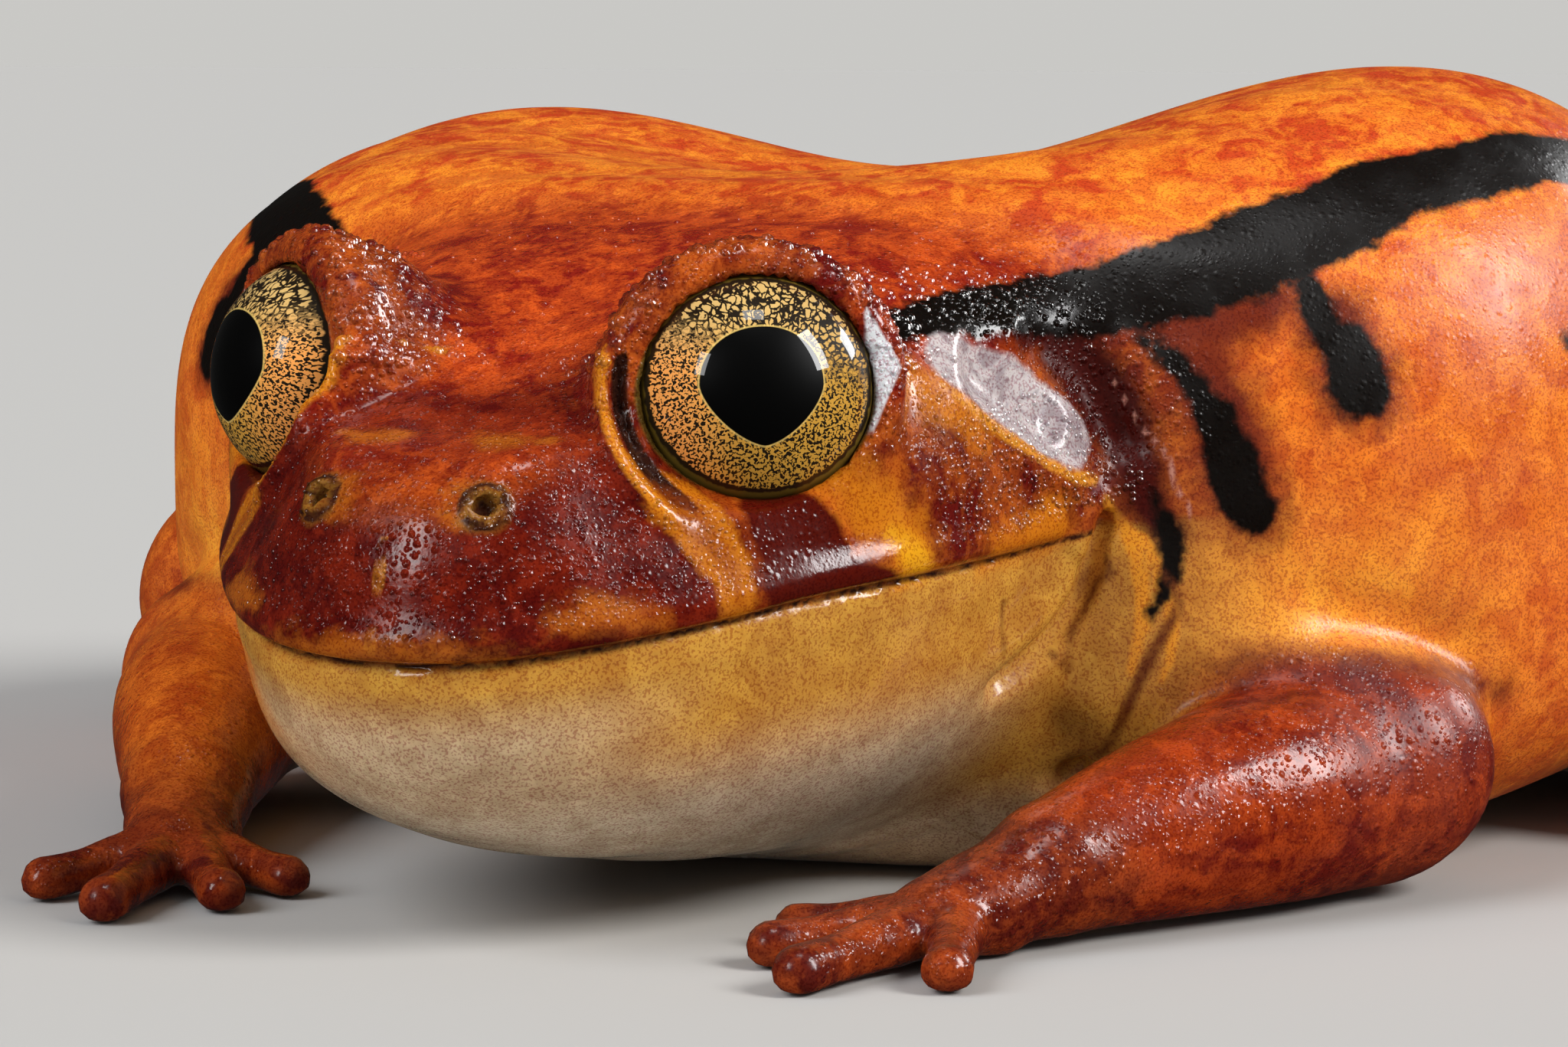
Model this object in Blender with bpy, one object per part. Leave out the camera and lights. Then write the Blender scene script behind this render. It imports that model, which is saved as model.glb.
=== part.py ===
"""A tomato frog resting with its chin low, as a life-size museum model.

The frog faces -Y and stands on Z = 0. Its form is worked out in millimetres behind the tip of the
snout (Y), to the frog's left (X) and above the floor (Z), and is parented to an empty that carries
the middle of its length to the origin. Every limb is a stretch of one tube along its own path, and
what grows from the body is cut clear of it by a thin gap.
"""

import math

import bmesh
import bpy
import numpy as np

MM = 0.001
GAP = 0.3

BODY_LENGTH = 85.0
HEAD_END = 27.5
TRUNK_START = 23.4

# Stations: behind the snout, half width, height of the widest line, rise to the top, drop below.
HEAD_STATIONS = (
    (0.0, 0.0, 11.6, 0.0, 0.0),
    (1.0, 4.5, 11.8, 5.0, 3.8),
    (3.0, 7.4, 12.2, 6.7, 5.9),
    (7.2, 11.0, 13.0, 7.9, 8.9),
    (10.5, 13.1, 13.6, 8.7, 10.6),
    (14.0, 14.9, 14.0, 9.9, 11.7),
    (17.5, 15.9, 14.2, 11.0, 12.6),
    (21.0, 16.6, 14.4, 11.8, 13.2),
    (25.5, 18.2, 15.2, 11.9, 14.5),
    (HEAD_END, 18.6, 15.6, 11.7, 15.0),
)
TRUNK_STATIONS = (
    (TRUNK_START, 0.0, 13.6, 0.0, 0.0),
    (24.4, 13.2, 13.6, 9.2, 10.4),
    (26.0, 18.8, 13.8, 12.4, 12.8),
    (28.5, 23.8, 13.8, 14.7, 14.0),
    (32.0, 29.0, 13.7, 16.4, 14.5),
    (37.0, 33.2, 13.5, 18.8, 14.7),
    (43.0, 35.6, 13.2, 21.0, 14.6),
    (50.0, 36.1, 13.0, 22.2, 14.4),
    (56.0, 34.9, 12.8, 21.6, 14.2),
    (63.0, 31.9, 12.4, 18.4, 13.8),
    (70.0, 27.0, 11.8, 14.4, 12.8),
    (76.0, 20.6, 11.0, 10.6, 11.0),
    (81.0, 12.6, 10.0, 6.4, 8.0),
    (BODY_LENGTH, 0.0, 9.0, 0.0, 0.0),
)
# Roundness of the cross sections above the widest line, at places behind the snout, and below it.
HEAD_ROUNDNESS = ((8.0, 2.25), (18.0, 3.6)), 2.2
TRUNK_ROUNDNESS = ((24.0, 3.2), (85.0, 3.2)), 2.9
TRUNK_RINGS = 23

# The shallow trough down the middle of an inflated frog's back.
TROUGH_DEPTH = 6.6
TROUGH_HALF_WIDTH = 18.0
TROUGH_START, TROUGH_FULL, TROUGH_FADING, TROUGH_END = 26.0, 46.0, 58.0, 82.0

# The body rolls a little to the right: how much its back rises a millimetre to the left.
LEAN = 0.05
LEAN_START, LEAN_FULL = (28.0, 12.0), (44.0, 26.0)

# The closed mouth: a groove between two lips, which fades out at the corner.
MOUTH_GROOVE = (0.0, 0.3, -0.6)
UPPER_LIP = (0.95, 0.75, 0.3)
LOWER_LIP = (-1.0, 0.8, 0.1)
JAW_INSET = 0.4
MOUTH_CORNER = 26.0
MOUTH_FADE = 1.5

EYE_CENTRE = (10.4, 10.8, 21.5)
EYE_TURN = 33.0
EYE_LIFT = 8.0
GLOBE_RADIUS = 4.8
LID_OPENING = 4.4
LID_THICKNESS = 0.75
BROW_RADIUS = 1.2
LOWER_LID_RADIUS = 0.5

NOSTRIL = (3.15, 2.6, 17.2)
NOSTRIL_RADIUS = 0.6
EARDRUM_CENTRE = (16.3, 20.6, 20.4)
EARDRUM_RADII = (3.3, 2.6)
EAR_RIM_RADIUS = 0.36

# Ridges and hollows of the head: their run, half width and height.
EAR_FOLD = (((13.2, 15.2, 24.2), (15.8, 18.6, 24.4), (17.6, 22.0, 23.4), (18.6, 24.6, 20.6)), 1.2, 0.9)
CANTHUS = (((3.6, 3.4, 18.8), (6.0, 5.6, 20.0), (8.0, 7.4, 21.4)), 1.4, 0.4)
LORE = (((7.6, 5.0, 16.4), (9.4, 6.6, 17.0)), 2.0, -0.45)
CROWN = (((0.0, 8.0, 21.0), (0.0, 16.0, 24.8)), 3.2, -0.5)
EAR_HOLLOW = (((16.6, 20.2, 20.4), (16.7, 21.0, 20.4)), 2.7, -0.35)
HEAD_RELIEF = (EAR_FOLD, CANTHUS, LORE, CROWN, EAR_HOLLOW)
ARMPIT = (((20.0, 26.0, 5.0), (25.0, 29.0, 6.0), (29.0, 37.0, 5.0)), 4.6, -2.4)
THROAT_FOLD = (((20.6, 26.0, 20.0), (21.6, 27.0, 14.0), (19.6, 25.6, 8.6), (15.0, 24.6, 4.6)), 1.9, -0.8)
GROIN = (((30.0, 68.0, 18.0), (36.0, 58.0, 15.5), (37.0, 49.0, 12.0)), 4.5, -1.2)
TRUNK_RELIEF = (ARMPIT, THROAT_FOLD, GROIN)

# Limb landmarks: X, Y, Z, half width across, half height.
UPPER_ARM = ((18.5, 31.5, 9.0, 5.4, 5.6), (24.0, 32.2, 7.0, 5.1, 5.2), (27.8, 32.6, 5.3, 4.6, 4.7))
FOREARM = (
    (27.0, 31.8, 4.8, 4.5, 4.5),
    (24.9, 27.0, 4.5, 4.3, 4.3),
    (22.3, 22.0, 3.8, 3.6, 3.5),
    (19.9, 17.6, 2.9, 2.7, 2.6),
)
HAND = ((20.0, 17.6, 2.8, 2.5, 2.4), (18.2, 14.6, 1.8, 2.8, 1.8), (17.3, 12.8, 1.3, 2.4, 1.4))
FINGER_ROOT = (17.5, 13.8, 1.3)
FINGERS = ((254.0, 7.4, 1.15), (224.0, 8.8, 1.2), (194.0, 10.8, 1.25), (160.0, 8.2, 1.2))

THIGH = (
    (12.0, 71.0, 11.0, 9.0, 8.6),
    (23.0, 67.0, 9.6, 9.2, 9.0),
    (33.0, 59.5, 7.9, 7.6, 7.8),
    (38.0, 52.5, 6.6, 5.8, 6.4),
)
SHANK = (
    (39.2, 52.5, 6.0, 5.2, 5.8),
    (39.8, 59.5, 5.7, 5.4, 5.7),
    (36.6, 68.6, 4.9, 4.8, 4.9),
    (32.4, 76.4, 3.8, 3.5, 3.7),
)
FOOT = (
    (31.8, 78.8, 3.2, 3.1, 3.1),
    (35.2, 77.8, 2.6, 2.9, 2.6),
    (39.4, 75.0, 2.0, 2.9, 2.1),
    (42.6, 72.4, 1.5, 3.2, 1.6),
)
TOE_ROOT = (42.0, 73.0, 1.4)
TOES = ((190.0, 6.4, 1.1), (168.0, 9.0, 1.15), (146.0, 11.6, 1.2), (124.0, 13.0, 1.25), (98.0, 8.6, 1.15))

RED = (0.62, 0.085, 0.02, 1.0)
ORANGE = (0.85, 0.26, 0.03, 1.0)
MAROON = (0.3, 0.03, 0.015, 1.0)
GOLD = (0.7, 0.48, 0.12, 1.0)


def clear_scene():
    for obj in list(bpy.data.objects):
        bpy.data.objects.remove(obj)


def material(name, colour, roughness):
    made = bpy.data.materials.new(name)
    made.use_nodes = True
    shader = made.node_tree.nodes["Principled BSDF"]
    shader.inputs["Base Color"].default_value = colour
    shader.inputs["Roughness"].default_value = roughness
    shader.inputs["Metallic"].default_value = 0.0
    return made


def smooth_curve(stations, values):
    """A monotone cubic through the stations, so that it never swings past one of them."""
    x, v = np.asarray(stations, float), np.asarray(values, float)
    step, slope = np.diff(x), np.diff(v) / np.diff(x)
    tangent = np.r_[slope[0], np.zeros(len(x) - 2), slope[-1]]
    same_way = slope[:-1] * slope[1:] > 0
    before, after = 2 * step[1:] + step[:-1], step[1:] + 2 * step[:-1]
    safe = np.where(same_way, slope[:-1], 1.0), np.where(same_way, slope[1:], 1.0)
    mean = (before + after) / (before / safe[0] + after / safe[1])
    tangent[1:-1] = np.where(same_way, mean, 0.0)

    def at(p):
        p = np.clip(p, x[0], x[-1])
        i = np.clip(np.searchsorted(x, p) - 1, 0, len(step) - 1)
        t = (p - x[i]) / step[i]
        rest = t * t * (3 - 2 * t)
        return (
            v[i] * (1 - rest)
            + v[i + 1] * rest
            + step[i] * (tangent[i] * t * (1 - t) ** 2 - tangent[i + 1] * t * t * (1 - t))
        )

    return at


def bump(value, middle, width, height):
    return height * np.exp(-(((value - middle) / width) ** 2))


def fade(value, start, end):
    """1 before start, 0 after end and smooth between them."""
    t = np.clip((value - start) / (end - start), 0.0, 1.0)
    return 1.0 - t * t * (3.0 - 2.0 * t)


class Profile:
    """A form along the body, read from stations; it is a superellipse across at every one."""

    def __init__(self, stations, roundness):
        table = np.array(stations)
        self.start, self.end = table[0, 0], table[-1, 0]
        # Squared radii run straight into a round end, so they are what is interpolated.
        self.width_squared = smooth_curve(table[:, 0], table[:, 1] ** 2)
        self.middle = smooth_curve(table[:, 0], table[:, 2])
        self.rise_squared = smooth_curve(table[:, 0], table[:, 3] ** 2)
        self.drop_squared = smooth_curve(table[:, 0], table[:, 4] ** 2)
        self.above_at, self.below = np.array(roundness[0]), roundness[1]

    def above(self, y):
        return np.interp(y, self.above_at[:, 0], self.above_at[:, 1])

    def half_width(self, y):
        return np.sqrt(np.maximum(self.width_squared(y), 0.0))

    def heights(self, y):
        return np.sqrt(np.maximum(self.rise_squared(y), 0.0)), np.sqrt(np.maximum(self.drop_squared(y), 0.0))

    def outside(self, x, y, z):
        """Negative inside the form and positive outside it."""
        offset = z - self.middle(y)
        rise, drop = self.heights(y)
        power = np.where(offset >= 0, self.above(y), self.below)
        tall = np.maximum(np.where(offset >= 0, rise, drop), 1e-6)
        wide = np.maximum(self.half_width(y), 1e-6)
        level = (np.abs(x) / wide) ** power + (np.abs(offset) / tall) ** power - 1.0
        return np.where((y <= self.start) | (y > self.end), 1.0, level)

    def rings(self, places, shares):
        """Whole cross sections; the shares run from 1 on the back to -1 under the belly."""
        y, share = np.asarray(places, float)[:, None], np.asarray(shares, float)[None]
        power = np.where(share >= 0, self.above(y), self.below)
        rise, drop = self.heights(y)
        x = self.half_width(y) * np.maximum(1 - np.abs(share) ** power, 0.0) ** (1 / power)
        z = self.middle(y) + np.where(share >= 0, rise, -drop) * np.abs(share)
        trough = TROUGH_DEPTH * (1 - fade(y, TROUGH_START, TROUGH_FULL)) * fade(y, TROUGH_FADING, TROUGH_END)
        z = z - np.where(share > 0.0, bump(x, 0.0, TROUGH_HALF_WIDTH, trough), 0.0) * fade(-share, -0.5, 0.0)
        near = np.stack([x, np.broadcast_to(y, x.shape), z], -1)
        relief = relief_at(near, TRUNK_RELIEF)
        near = near + surface_normals(near) * relief[..., None] * (share < 0.999)[..., None]
        near[..., 2] = np.maximum(near[..., 2], 0.0)
        far = near[:, -2:0:-1] * np.array([-1.0, 1.0, 1.0])
        return np.concatenate([near, far], axis=1)


def distance_to_run(points, run):
    """How far each point is from a line of straight steps, on either side of the head."""
    near = np.abs(points[..., 0])[..., None] * np.array([1.0, 0.0, 0.0]) + points * np.array([0.0, 1.0, 1.0])
    best = np.full(points.shape[:-1], 1e9)
    for a, b in zip(np.array(run[:-1]), np.array(run[1:])):
        t = np.clip(((near - a) @ (b - a)) / ((b - a) @ (b - a)), 0.0, 1.0)
        best = np.minimum(best, np.linalg.norm(near - a - t[..., None] * (b - a), axis=-1))
    return best


def relief_at(points, features):
    """The summed height of ridges and hollows at each point."""
    return sum(bump(distance_to_run(points, run), 0.0, width, height) for run, width, height in features)


def lip_relief(offset, y):
    """How far the lips stand out, or the mouth line sinks, at a height above the widest line."""
    relief = bump(offset, *UPPER_LIP) + bump(offset, *LOWER_LIP) + bump(offset, *MOUTH_GROOVE)
    relief = relief - JAW_INSET * fade(offset, -0.6, 0.1) * fade(-offset, 2.0, 7.0)
    return relief * fade(y, MOUTH_CORNER - MOUTH_FADE, MOUTH_CORNER)


def surface_normals(grid):
    """Unit normals of a grid of points, pointing away from the middle of the form."""
    normal = np.cross(np.gradient(grid, axis=0), np.gradient(grid, axis=1))
    normal /= np.maximum(np.linalg.norm(normal, axis=2), 1e-9)[..., None]
    away = grid - grid.reshape(-1, 3).mean(axis=0) * np.array([0.0, 1.0, 1.0])
    return normal * np.sign((normal * away).sum(axis=2))[..., None]


def head_grid(profile, columns, rows):
    """The head as seen from the middle of its neck: rows run along the mouth line and turn with it."""
    centre = np.array([0.0, profile.end, float(profile.middle(profile.end))])
    turn = np.radians(columns)[:, None]
    near, far = np.zeros_like(turn), np.full_like(turn, 60.0)
    for _ in range(40):
        reach = (near + far) / 2
        y = profile.end - reach * np.cos(turn)
        out = (reach * np.sin(np.abs(turn)) > profile.half_width(y)) | (y < profile.start)
        near, far = np.where(out, near, reach), np.where(out, reach, far)
    level = np.arctan2(profile.middle(profile.end - reach * np.cos(turn)) - centre[2], reach)
    row = np.asarray(rows)[None]
    lift = level + np.where(row >= 0, math.pi / 2 - level, -math.pi / 2 - level) * np.abs(row)
    ray = np.stack([np.sin(turn) * np.cos(lift), -np.cos(turn) * np.cos(lift), np.sin(lift)], -1)
    near, far = np.zeros_like(lift), np.full_like(lift, 60.0)
    for _ in range(40):
        reach = (near + far) / 2
        spot = centre + ray * reach[..., None]
        out = profile.outside(spot[..., 0], np.minimum(spot[..., 1], profile.end), spot[..., 2]) > 0
        near, far = np.where(out, near, reach), np.where(out, reach, far)
    return centre + ray * near[..., None]


def ring_stations(start, end, count):
    """Places along a form, closer together towards both of its round ends."""
    t = np.linspace(0.0, 1.0, count + 2)[1:-1]
    eased = 0.5 - 0.5 * np.cos(math.pi * t)
    return start + (end - start) * (0.35 * t + 0.65 * eased)


def loft(rings, first_point=None, last_point=None):
    """A closed bmesh through rings of equal count, with flat ends, or a pole where a point is given."""
    bm = bmesh.new()
    made = [[bm.verts.new(point * MM) for point in ring] for ring in rings]
    for one, two in zip(made, made[1:]):
        for i in range(len(one)):
            j = (i + 1) % len(one)
            bm.faces.new((one[i], one[j], two[j], two[i]))
    for ring, pole, flip in ((made[0], first_point, True), (made[-1], last_point, False)):
        order = ring[::-1] if flip else ring
        if pole is None:
            bm.faces.new(order)
            continue
        tip = bm.verts.new(np.asarray(pole, float) * MM)
        for i in range(len(order)):
            bm.faces.new((order[i], order[(i + 1) % len(order)], tip))
    bmesh.ops.triangulate(bm, faces=bm.faces[:])
    bmesh.ops.recalc_face_normals(bm, faces=bm.faces[:])
    return bm


def grown(bm, amount):
    """Moves a closed mesh's skin outwards, to cut a neighbour clear of it."""
    bm.normal_update()
    for vert in bm.verts:
        vert.co += vert.normal * amount * MM
    return bm


def to_object(name, bm, finish=None):
    mesh = bpy.data.meshes.new(name)
    bm.to_mesh(mesh)
    bm.free()
    obj = bpy.data.objects.new(name, mesh)
    bpy.context.scene.collection.objects.link(obj)
    if finish:
        mesh.materials.append(finish)
    return obj


def signed_volume(faces):
    return sum(face.calc_area() * face.normal.dot(face.calc_center_median()) for face in faces) / 3.0


def keep_largest(bm):
    """Leaves only the largest closed surface of a mesh."""
    unseen, bodies = set(bm.verts), []
    while unseen:
        stack, body = [unseen.pop()], set()
        while stack:
            vert = stack.pop()
            body.add(vert)
            for edge in vert.link_edges:
                other = edge.other_vert(vert)
                if other in unseen:
                    unseen.discard(other)
                    stack.append(other)
        bodies.append(body)
    bm.normal_update()
    bodies.sort(key=lambda body: -abs(signed_volume({f for v in body for f in v.link_faces})))
    for body in bodies[1:]:
        bmesh.ops.delete(bm, geom=list(body), context="VERTS")


def combine(obj, others, operation):
    """Applies one Boolean of a collection of closed meshes to an object, and removes them."""
    group = bpy.data.collections.new("pieces")
    bpy.context.scene.collection.children.link(group)
    for other in others:
        group.objects.link(other)
    modifier = obj.modifiers.new(operation.title(), "BOOLEAN")
    modifier.operation = operation
    modifier.solver = "EXACT"
    modifier.operand_type = "COLLECTION"
    modifier.collection = group
    graph = bpy.context.evaluated_depsgraph_get()
    bm = bmesh.new()
    bm.from_mesh(obj.evaluated_get(graph).to_mesh())
    obj.modifiers.clear()
    keep_largest(bm)
    bmesh.ops.triangulate(bm, faces=bm.faces[:])
    bm.to_mesh(obj.data)
    bm.free()
    for other in others:
        bpy.data.objects.remove(other)
    bpy.data.collections.remove(group)
    return obj


def smooth_path(points, at):
    """Catmull-Rom through the points, read at places counted in points from the first."""
    p = np.asarray(points, float)
    p = np.concatenate([[2 * p[0] - p[1]], p, [2 * p[-1] - p[-2]]])
    at = np.asarray(at, float)
    i = np.clip(at.astype(int), 0, len(p) - 4)
    t = (at - i)[:, None]
    a, b, c, d = p[i], p[i + 1], p[i + 2], p[i + 3]
    return 0.5 * (2 * b + (c - a) * t + (2 * a - 5 * b + 4 * c - d) * t**2 + (3 * b - a - 3 * c + d) * t**3)


def tube(points, count, sides, ends="flat flat", grow=0.0):
    """A limb's stretch through its landmarks, with flat or round ends, pressed flat on the floor."""
    place = np.linspace(0.0, len(points) - 1.0, count)
    row = smooth_path(points, place)
    ahead = smooth_path(points, place + 0.01)[:, :3] - smooth_path(points, place - 0.01)[:, :3]
    ahead /= np.linalg.norm(ahead, axis=1)[:, None]
    tips = []
    for at, way, kind in ((0, -1.0, ends.split()[0]), (-1, 1.0, ends.split()[1])):
        if kind == "flat":
            tips.append(None)
            continue
        dome = np.radians([32.0, 62.0])[:: int(way)]
        reach = min(row[at, 3], row[at, 4])
        extra = np.repeat(row[at][None], 2, axis=0)
        tip = row[at, :3] + way * ahead[at] * reach
        extra[:, :3] += way * ahead[at] * reach * np.sin(dome)[:, None]
        extra[:, 3:] *= np.cos(dome)[:, None]
        turned = np.repeat(ahead[at][None], 2, axis=0)
        row = np.concatenate([extra, row] if way < 0 else [row, extra])
        ahead = np.concatenate([turned, ahead] if way < 0 else [ahead, turned])
        tips.append(tip + np.array([0.0, 0.0, max(0.0, 0.25 - tip[2])]))
    across = np.cross(ahead, [0.0, 0.0, 1.0])
    across /= np.linalg.norm(across, axis=1)[:, None]
    over = np.cross(across, ahead)
    angle = np.linspace(0, 2 * math.pi, sides, endpoint=False)
    rings = (
        row[:, None, :3]
        + across[:, None] * row[:, 3, None, None] * np.cos(angle)[None, :, None]
        + over[:, None] * row[:, 4, None, None] * np.sin(angle)[None, :, None]
    )
    rings[..., 2] = np.maximum(rings[..., 2], 0.0)
    return grown(loft(rings, *tips), grow)


def digit(root, heading, length, radius, lift):
    """A finger or toe: a knuckled tube that lies on the floor and ends in a round pad."""
    turn = math.radians(heading)
    ahead = np.array([math.sin(turn), math.cos(turn), 0.0])
    root = np.array(root, float) - ahead * 1.2
    stops = ((0.0, 1.15, 0.0), (0.25, 1.0, lift), (0.5, 1.06, lift * 0.8), (0.75, 0.86, 0.2), (1.0, 0.98, 0.0))
    points = []
    for share, size, rise in stops:
        place = root + ahead * (1.2 + length - radius) * share
        points.append((place[0], place[1], radius * size * 0.8 + rise, radius * size, radius * size * 0.95))
    return tube(points, 6, 6, "flat round")


def frame_on(centre, outward):
    """Two directions across an outward one: level to its left, and upright."""
    outward = np.asarray(outward, float) / np.linalg.norm(outward)
    level = np.cross([0.0, 0.0, 1.0], outward)
    level /= np.linalg.norm(level)
    return np.asarray(centre, float), outward, level, np.cross(outward, level)


def ball(name, centre, radius, squash=(1.0, 1.0, 1.0), outward=(0.0, 0.0, 1.0), fine=(20, 12)):
    """A sphere, or an ellipsoid whose third radius lies along the outward direction."""
    bm = bmesh.new()
    bmesh.ops.create_uvsphere(bm, u_segments=fine[0], v_segments=fine[1], radius=radius * MM)
    if abs(outward[2]) > 0.99:
        axes = np.eye(3)
    else:
        _, out, level, upright = frame_on(centre, outward)
        axes = np.stack([level, upright, out], 1)
    for vert in bm.verts:
        vert.co = axes @ (np.array(vert.co) * squash) + np.asarray(centre, float) * MM
    bmesh.ops.triangulate(bm, faces=bm.faces[:])
    bmesh.ops.recalc_face_normals(bm, faces=bm.faces[:])
    return to_object(name, bm)


def arc_tube(name, centre, outward, radii, thickness, angles, sides=8):
    """A round bead along an ellipse or an arc of one, facing outward; the bead tapers if thickness is a pair."""
    centre, _, level, upright = frame_on(centre, outward)
    closed = abs(angles[1] - angles[0]) >= 360.0
    count = 18 if closed else 12
    turn = np.radians(np.linspace(angles[0], angles[1], count, endpoint=not closed))
    bead = np.interp(np.linspace(-1, 1, count), (-1, 0, 1), (thickness[1], thickness[0], thickness[1]))
    path = centre + radii[0] * np.cos(turn)[:, None] * level + radii[1] * np.sin(turn)[:, None] * upright
    outer = np.cos(turn)[:, None] * level + np.sin(turn)[:, None] * upright
    around = np.linspace(0, 2 * math.pi, sides, endpoint=False)
    out = np.cross(level, upright)
    rings = (
        path[:, None]
        + outer[:, None] * bead[:, None, None] * np.cos(around)[None, :, None]
        + out[None, None] * bead[:, None, None] * np.sin(around)[None, :, None]
    )
    if not closed:
        return to_object(name, loft(rings))
    bm = bmesh.new()
    made = [[bm.verts.new(point * MM) for point in ring] for ring in rings]
    for one, two in zip(made, made[1:] + made[:1]):
        for i in range(sides):
            j = (i + 1) % sides
            bm.faces.new((one[i], one[j], two[j], two[i]))
    bmesh.ops.triangulate(bm, faces=bm.faces[:])
    bmesh.ops.recalc_face_normals(bm, faces=bm.faces[:])
    return to_object(name, bm)


def mirrored(point, side):
    return (point[0] * side, point[1], point[2])


def eye_axis(side):
    turn, lift = math.radians(EYE_TURN), math.radians(EYE_LIFT)
    return np.array([side * math.sin(turn) * math.cos(lift), -math.cos(turn) * math.cos(lift), math.sin(lift)])


def globe_centre(side):
    sunk = math.sqrt(GLOBE_RADIUS**2 - LID_OPENING**2)
    return np.array(mirrored(EYE_CENTRE, side)) - sunk * eye_axis(side)


HEAD = Profile(HEAD_STATIONS, HEAD_ROUNDNESS)
TRUNK = Profile(TRUNK_STATIONS, TRUNK_ROUNDNESS)

HEAD_COLUMNS = np.linspace(-90.0, 90.0, 49)
HEAD_ROWS = np.array(
    [-1.0, -0.88, -0.74, -0.6, -0.47, -0.35, -0.25, -0.17, -0.11, -0.07, -0.042, -0.022, -0.009]
    + [0.0, 0.009, 0.022, 0.042, 0.07, 0.11, 0.16, 0.215, 0.275, 0.345, 0.43, 0.54, 0.69, 0.85, 1.0]
)
TRUNK_SHARES = np.sin(np.radians(np.linspace(90.0, -90.0, 19)))


def leaned(points):
    """The upper trunk raised on the left and lowered on the right, from the shoulders back."""
    x, y, z = points[..., 0], points[..., 1], points[..., 2]
    share = (1 - fade(y, LEAN_START[0], LEAN_FULL[0])) * (1 - fade(z, LEAN_START[1], LEAN_FULL[1]))
    return np.stack([x, y, z + LEAN * x * share], -1)


def trunk_form(grow=0.0):
    """The trunk as a closed loft from the neck to the rump."""
    places = ring_stations(TRUNK_START, BODY_LENGTH, TRUNK_RINGS)
    first = (0.0, TRUNK_START, float(TRUNK.middle(TRUNK_START)))
    last = (0.0, BODY_LENGTH, float(TRUNK.middle(BODY_LENGTH)))
    return grown(loft(leaned(TRUNK.rings(places, TRUNK_SHARES)), first, last), grow)


def head_form(grow=0.0):
    """The head's plain shape with its lips, folds and hollows, closed flat inside the neck."""
    grid = head_grid(HEAD, HEAD_COLUMNS, HEAD_ROWS)
    normal = surface_normals(grid)
    offset = grid[..., 2] - HEAD.middle(grid[..., 1])
    relief = lip_relief(offset, grid[..., 1]) + relief_at(grid, HEAD_RELIEF)
    inner = fade(-grid[..., 1], -HEAD_END, 0.8 - HEAD_END)
    grid = grid + normal * relief[..., None] * (1 - inner)[..., None]
    grid[..., 2] = np.maximum(grid[..., 2], 0.0)
    bm = bmesh.new()
    top, bottom = grid[:, -1].mean(axis=0), grid[:, 0].mean(axis=0)
    columns = [[bm.verts.new(point * MM) for point in column[1:-1]] for column in grid]
    peak, base = bm.verts.new(top * MM), bm.verts.new(bottom * MM)
    columns = [[base] + column + [peak] for column in columns]
    for one, two in zip(columns, columns[1:]):
        for i in range(len(one) - 1):
            corners = [one[i], two[i], two[i + 1], one[i + 1]]
            bm.faces.new(list(dict.fromkeys(corners)))
    bm.faces.new(columns[0] + columns[-1][-2:0:-1])
    bmesh.ops.triangulate(bm, faces=bm.faces[:])
    bmesh.ops.recalc_face_normals(bm, faces=bm.faces[:])
    return grown(bm, grow)


def lid_dome(side):
    """The bulge of skin round a globe, open where the eye looks out."""
    _, out, level, upright = frame_on(globe_centre(side), eye_axis(side))
    radius = GLOBE_RADIUS + LID_THICKNESS
    opening = math.acos(math.sqrt(GLOBE_RADIUS**2 - LID_OPENING**2) / radius)
    rings = []
    for polar in np.linspace(opening, math.pi, 7)[:-1]:
        turn = np.linspace(0, 2 * math.pi, 22, endpoint=False)
        across = level * np.cos(turn)[:, None] + upright * np.sin(turn)[:, None]
        rings.append(globe_centre(side) + radius * (out * math.cos(polar) + across * math.sin(polar)))
    return to_object("lid_dome", loft(rings, last_point=globe_centre(side) - out * radius))


def make_head(finish):
    """The head, with brows and lids round open sockets, nostrils and ringed eardrums."""
    head = to_object("head", head_form(), finish)
    added, removed = [], []
    for side in (1, -1):
        axis, globe = eye_axis(side), globe_centre(side)
        ring = np.array(mirrored(EYE_CENTRE, side))
        added.append(lid_dome(side))
        brow = (LID_OPENING + 0.65, LID_OPENING + 0.4)
        added.append(arc_tube("brow", ring - axis * 0.9, axis, brow, (BROW_RADIUS, 0.7), (-10.0, 190.0)))
        rim = (LID_OPENING + 0.15, LID_OPENING + 0.1)
        lower = (LOWER_LID_RADIUS, 0.35)
        added.append(arc_tube("lower_lid", ring - axis * 0.35, axis, rim, lower, (172.0, 368.0), 6))
        ear_out = (side * 0.93, -0.3, 0.2)
        ear = np.array(mirrored(EARDRUM_CENTRE, side))
        rim_size = (EAR_RIM_RADIUS, EAR_RIM_RADIUS)
        added.append(arc_tube("ear_rim", ear, ear_out, EARDRUM_RADII, rim_size, (0.0, 360.0), 6))
        nose = np.array(mirrored(NOSTRIL, side))
        nose_out = (side * 0.62, -0.6, 0.5)
        added.append(arc_tube("nostril_rim", nose, nose_out, (0.8, 0.68), (0.32, 0.32), (0.0, 360.0), 5))
        removed.append(ball("nostril", nose, NOSTRIL_RADIUS, (1.0, 0.85, 1.9), nose_out, (10, 6)))
        removed.append(ball("socket", globe, GLOBE_RADIUS + GAP, fine=(20, 12)))
    combine(head, added, "UNION")
    removed.append(to_object("grown_trunk", trunk_form(GAP)))
    return combine(head, removed, "DIFFERENCE")


def make_eye(name, side, finish):
    eye = ball(name, globe_centre(side), GLOBE_RADIUS, outward=eye_axis(side), fine=(20, 12))
    eye.data.materials.append(finish)
    return eye


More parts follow.
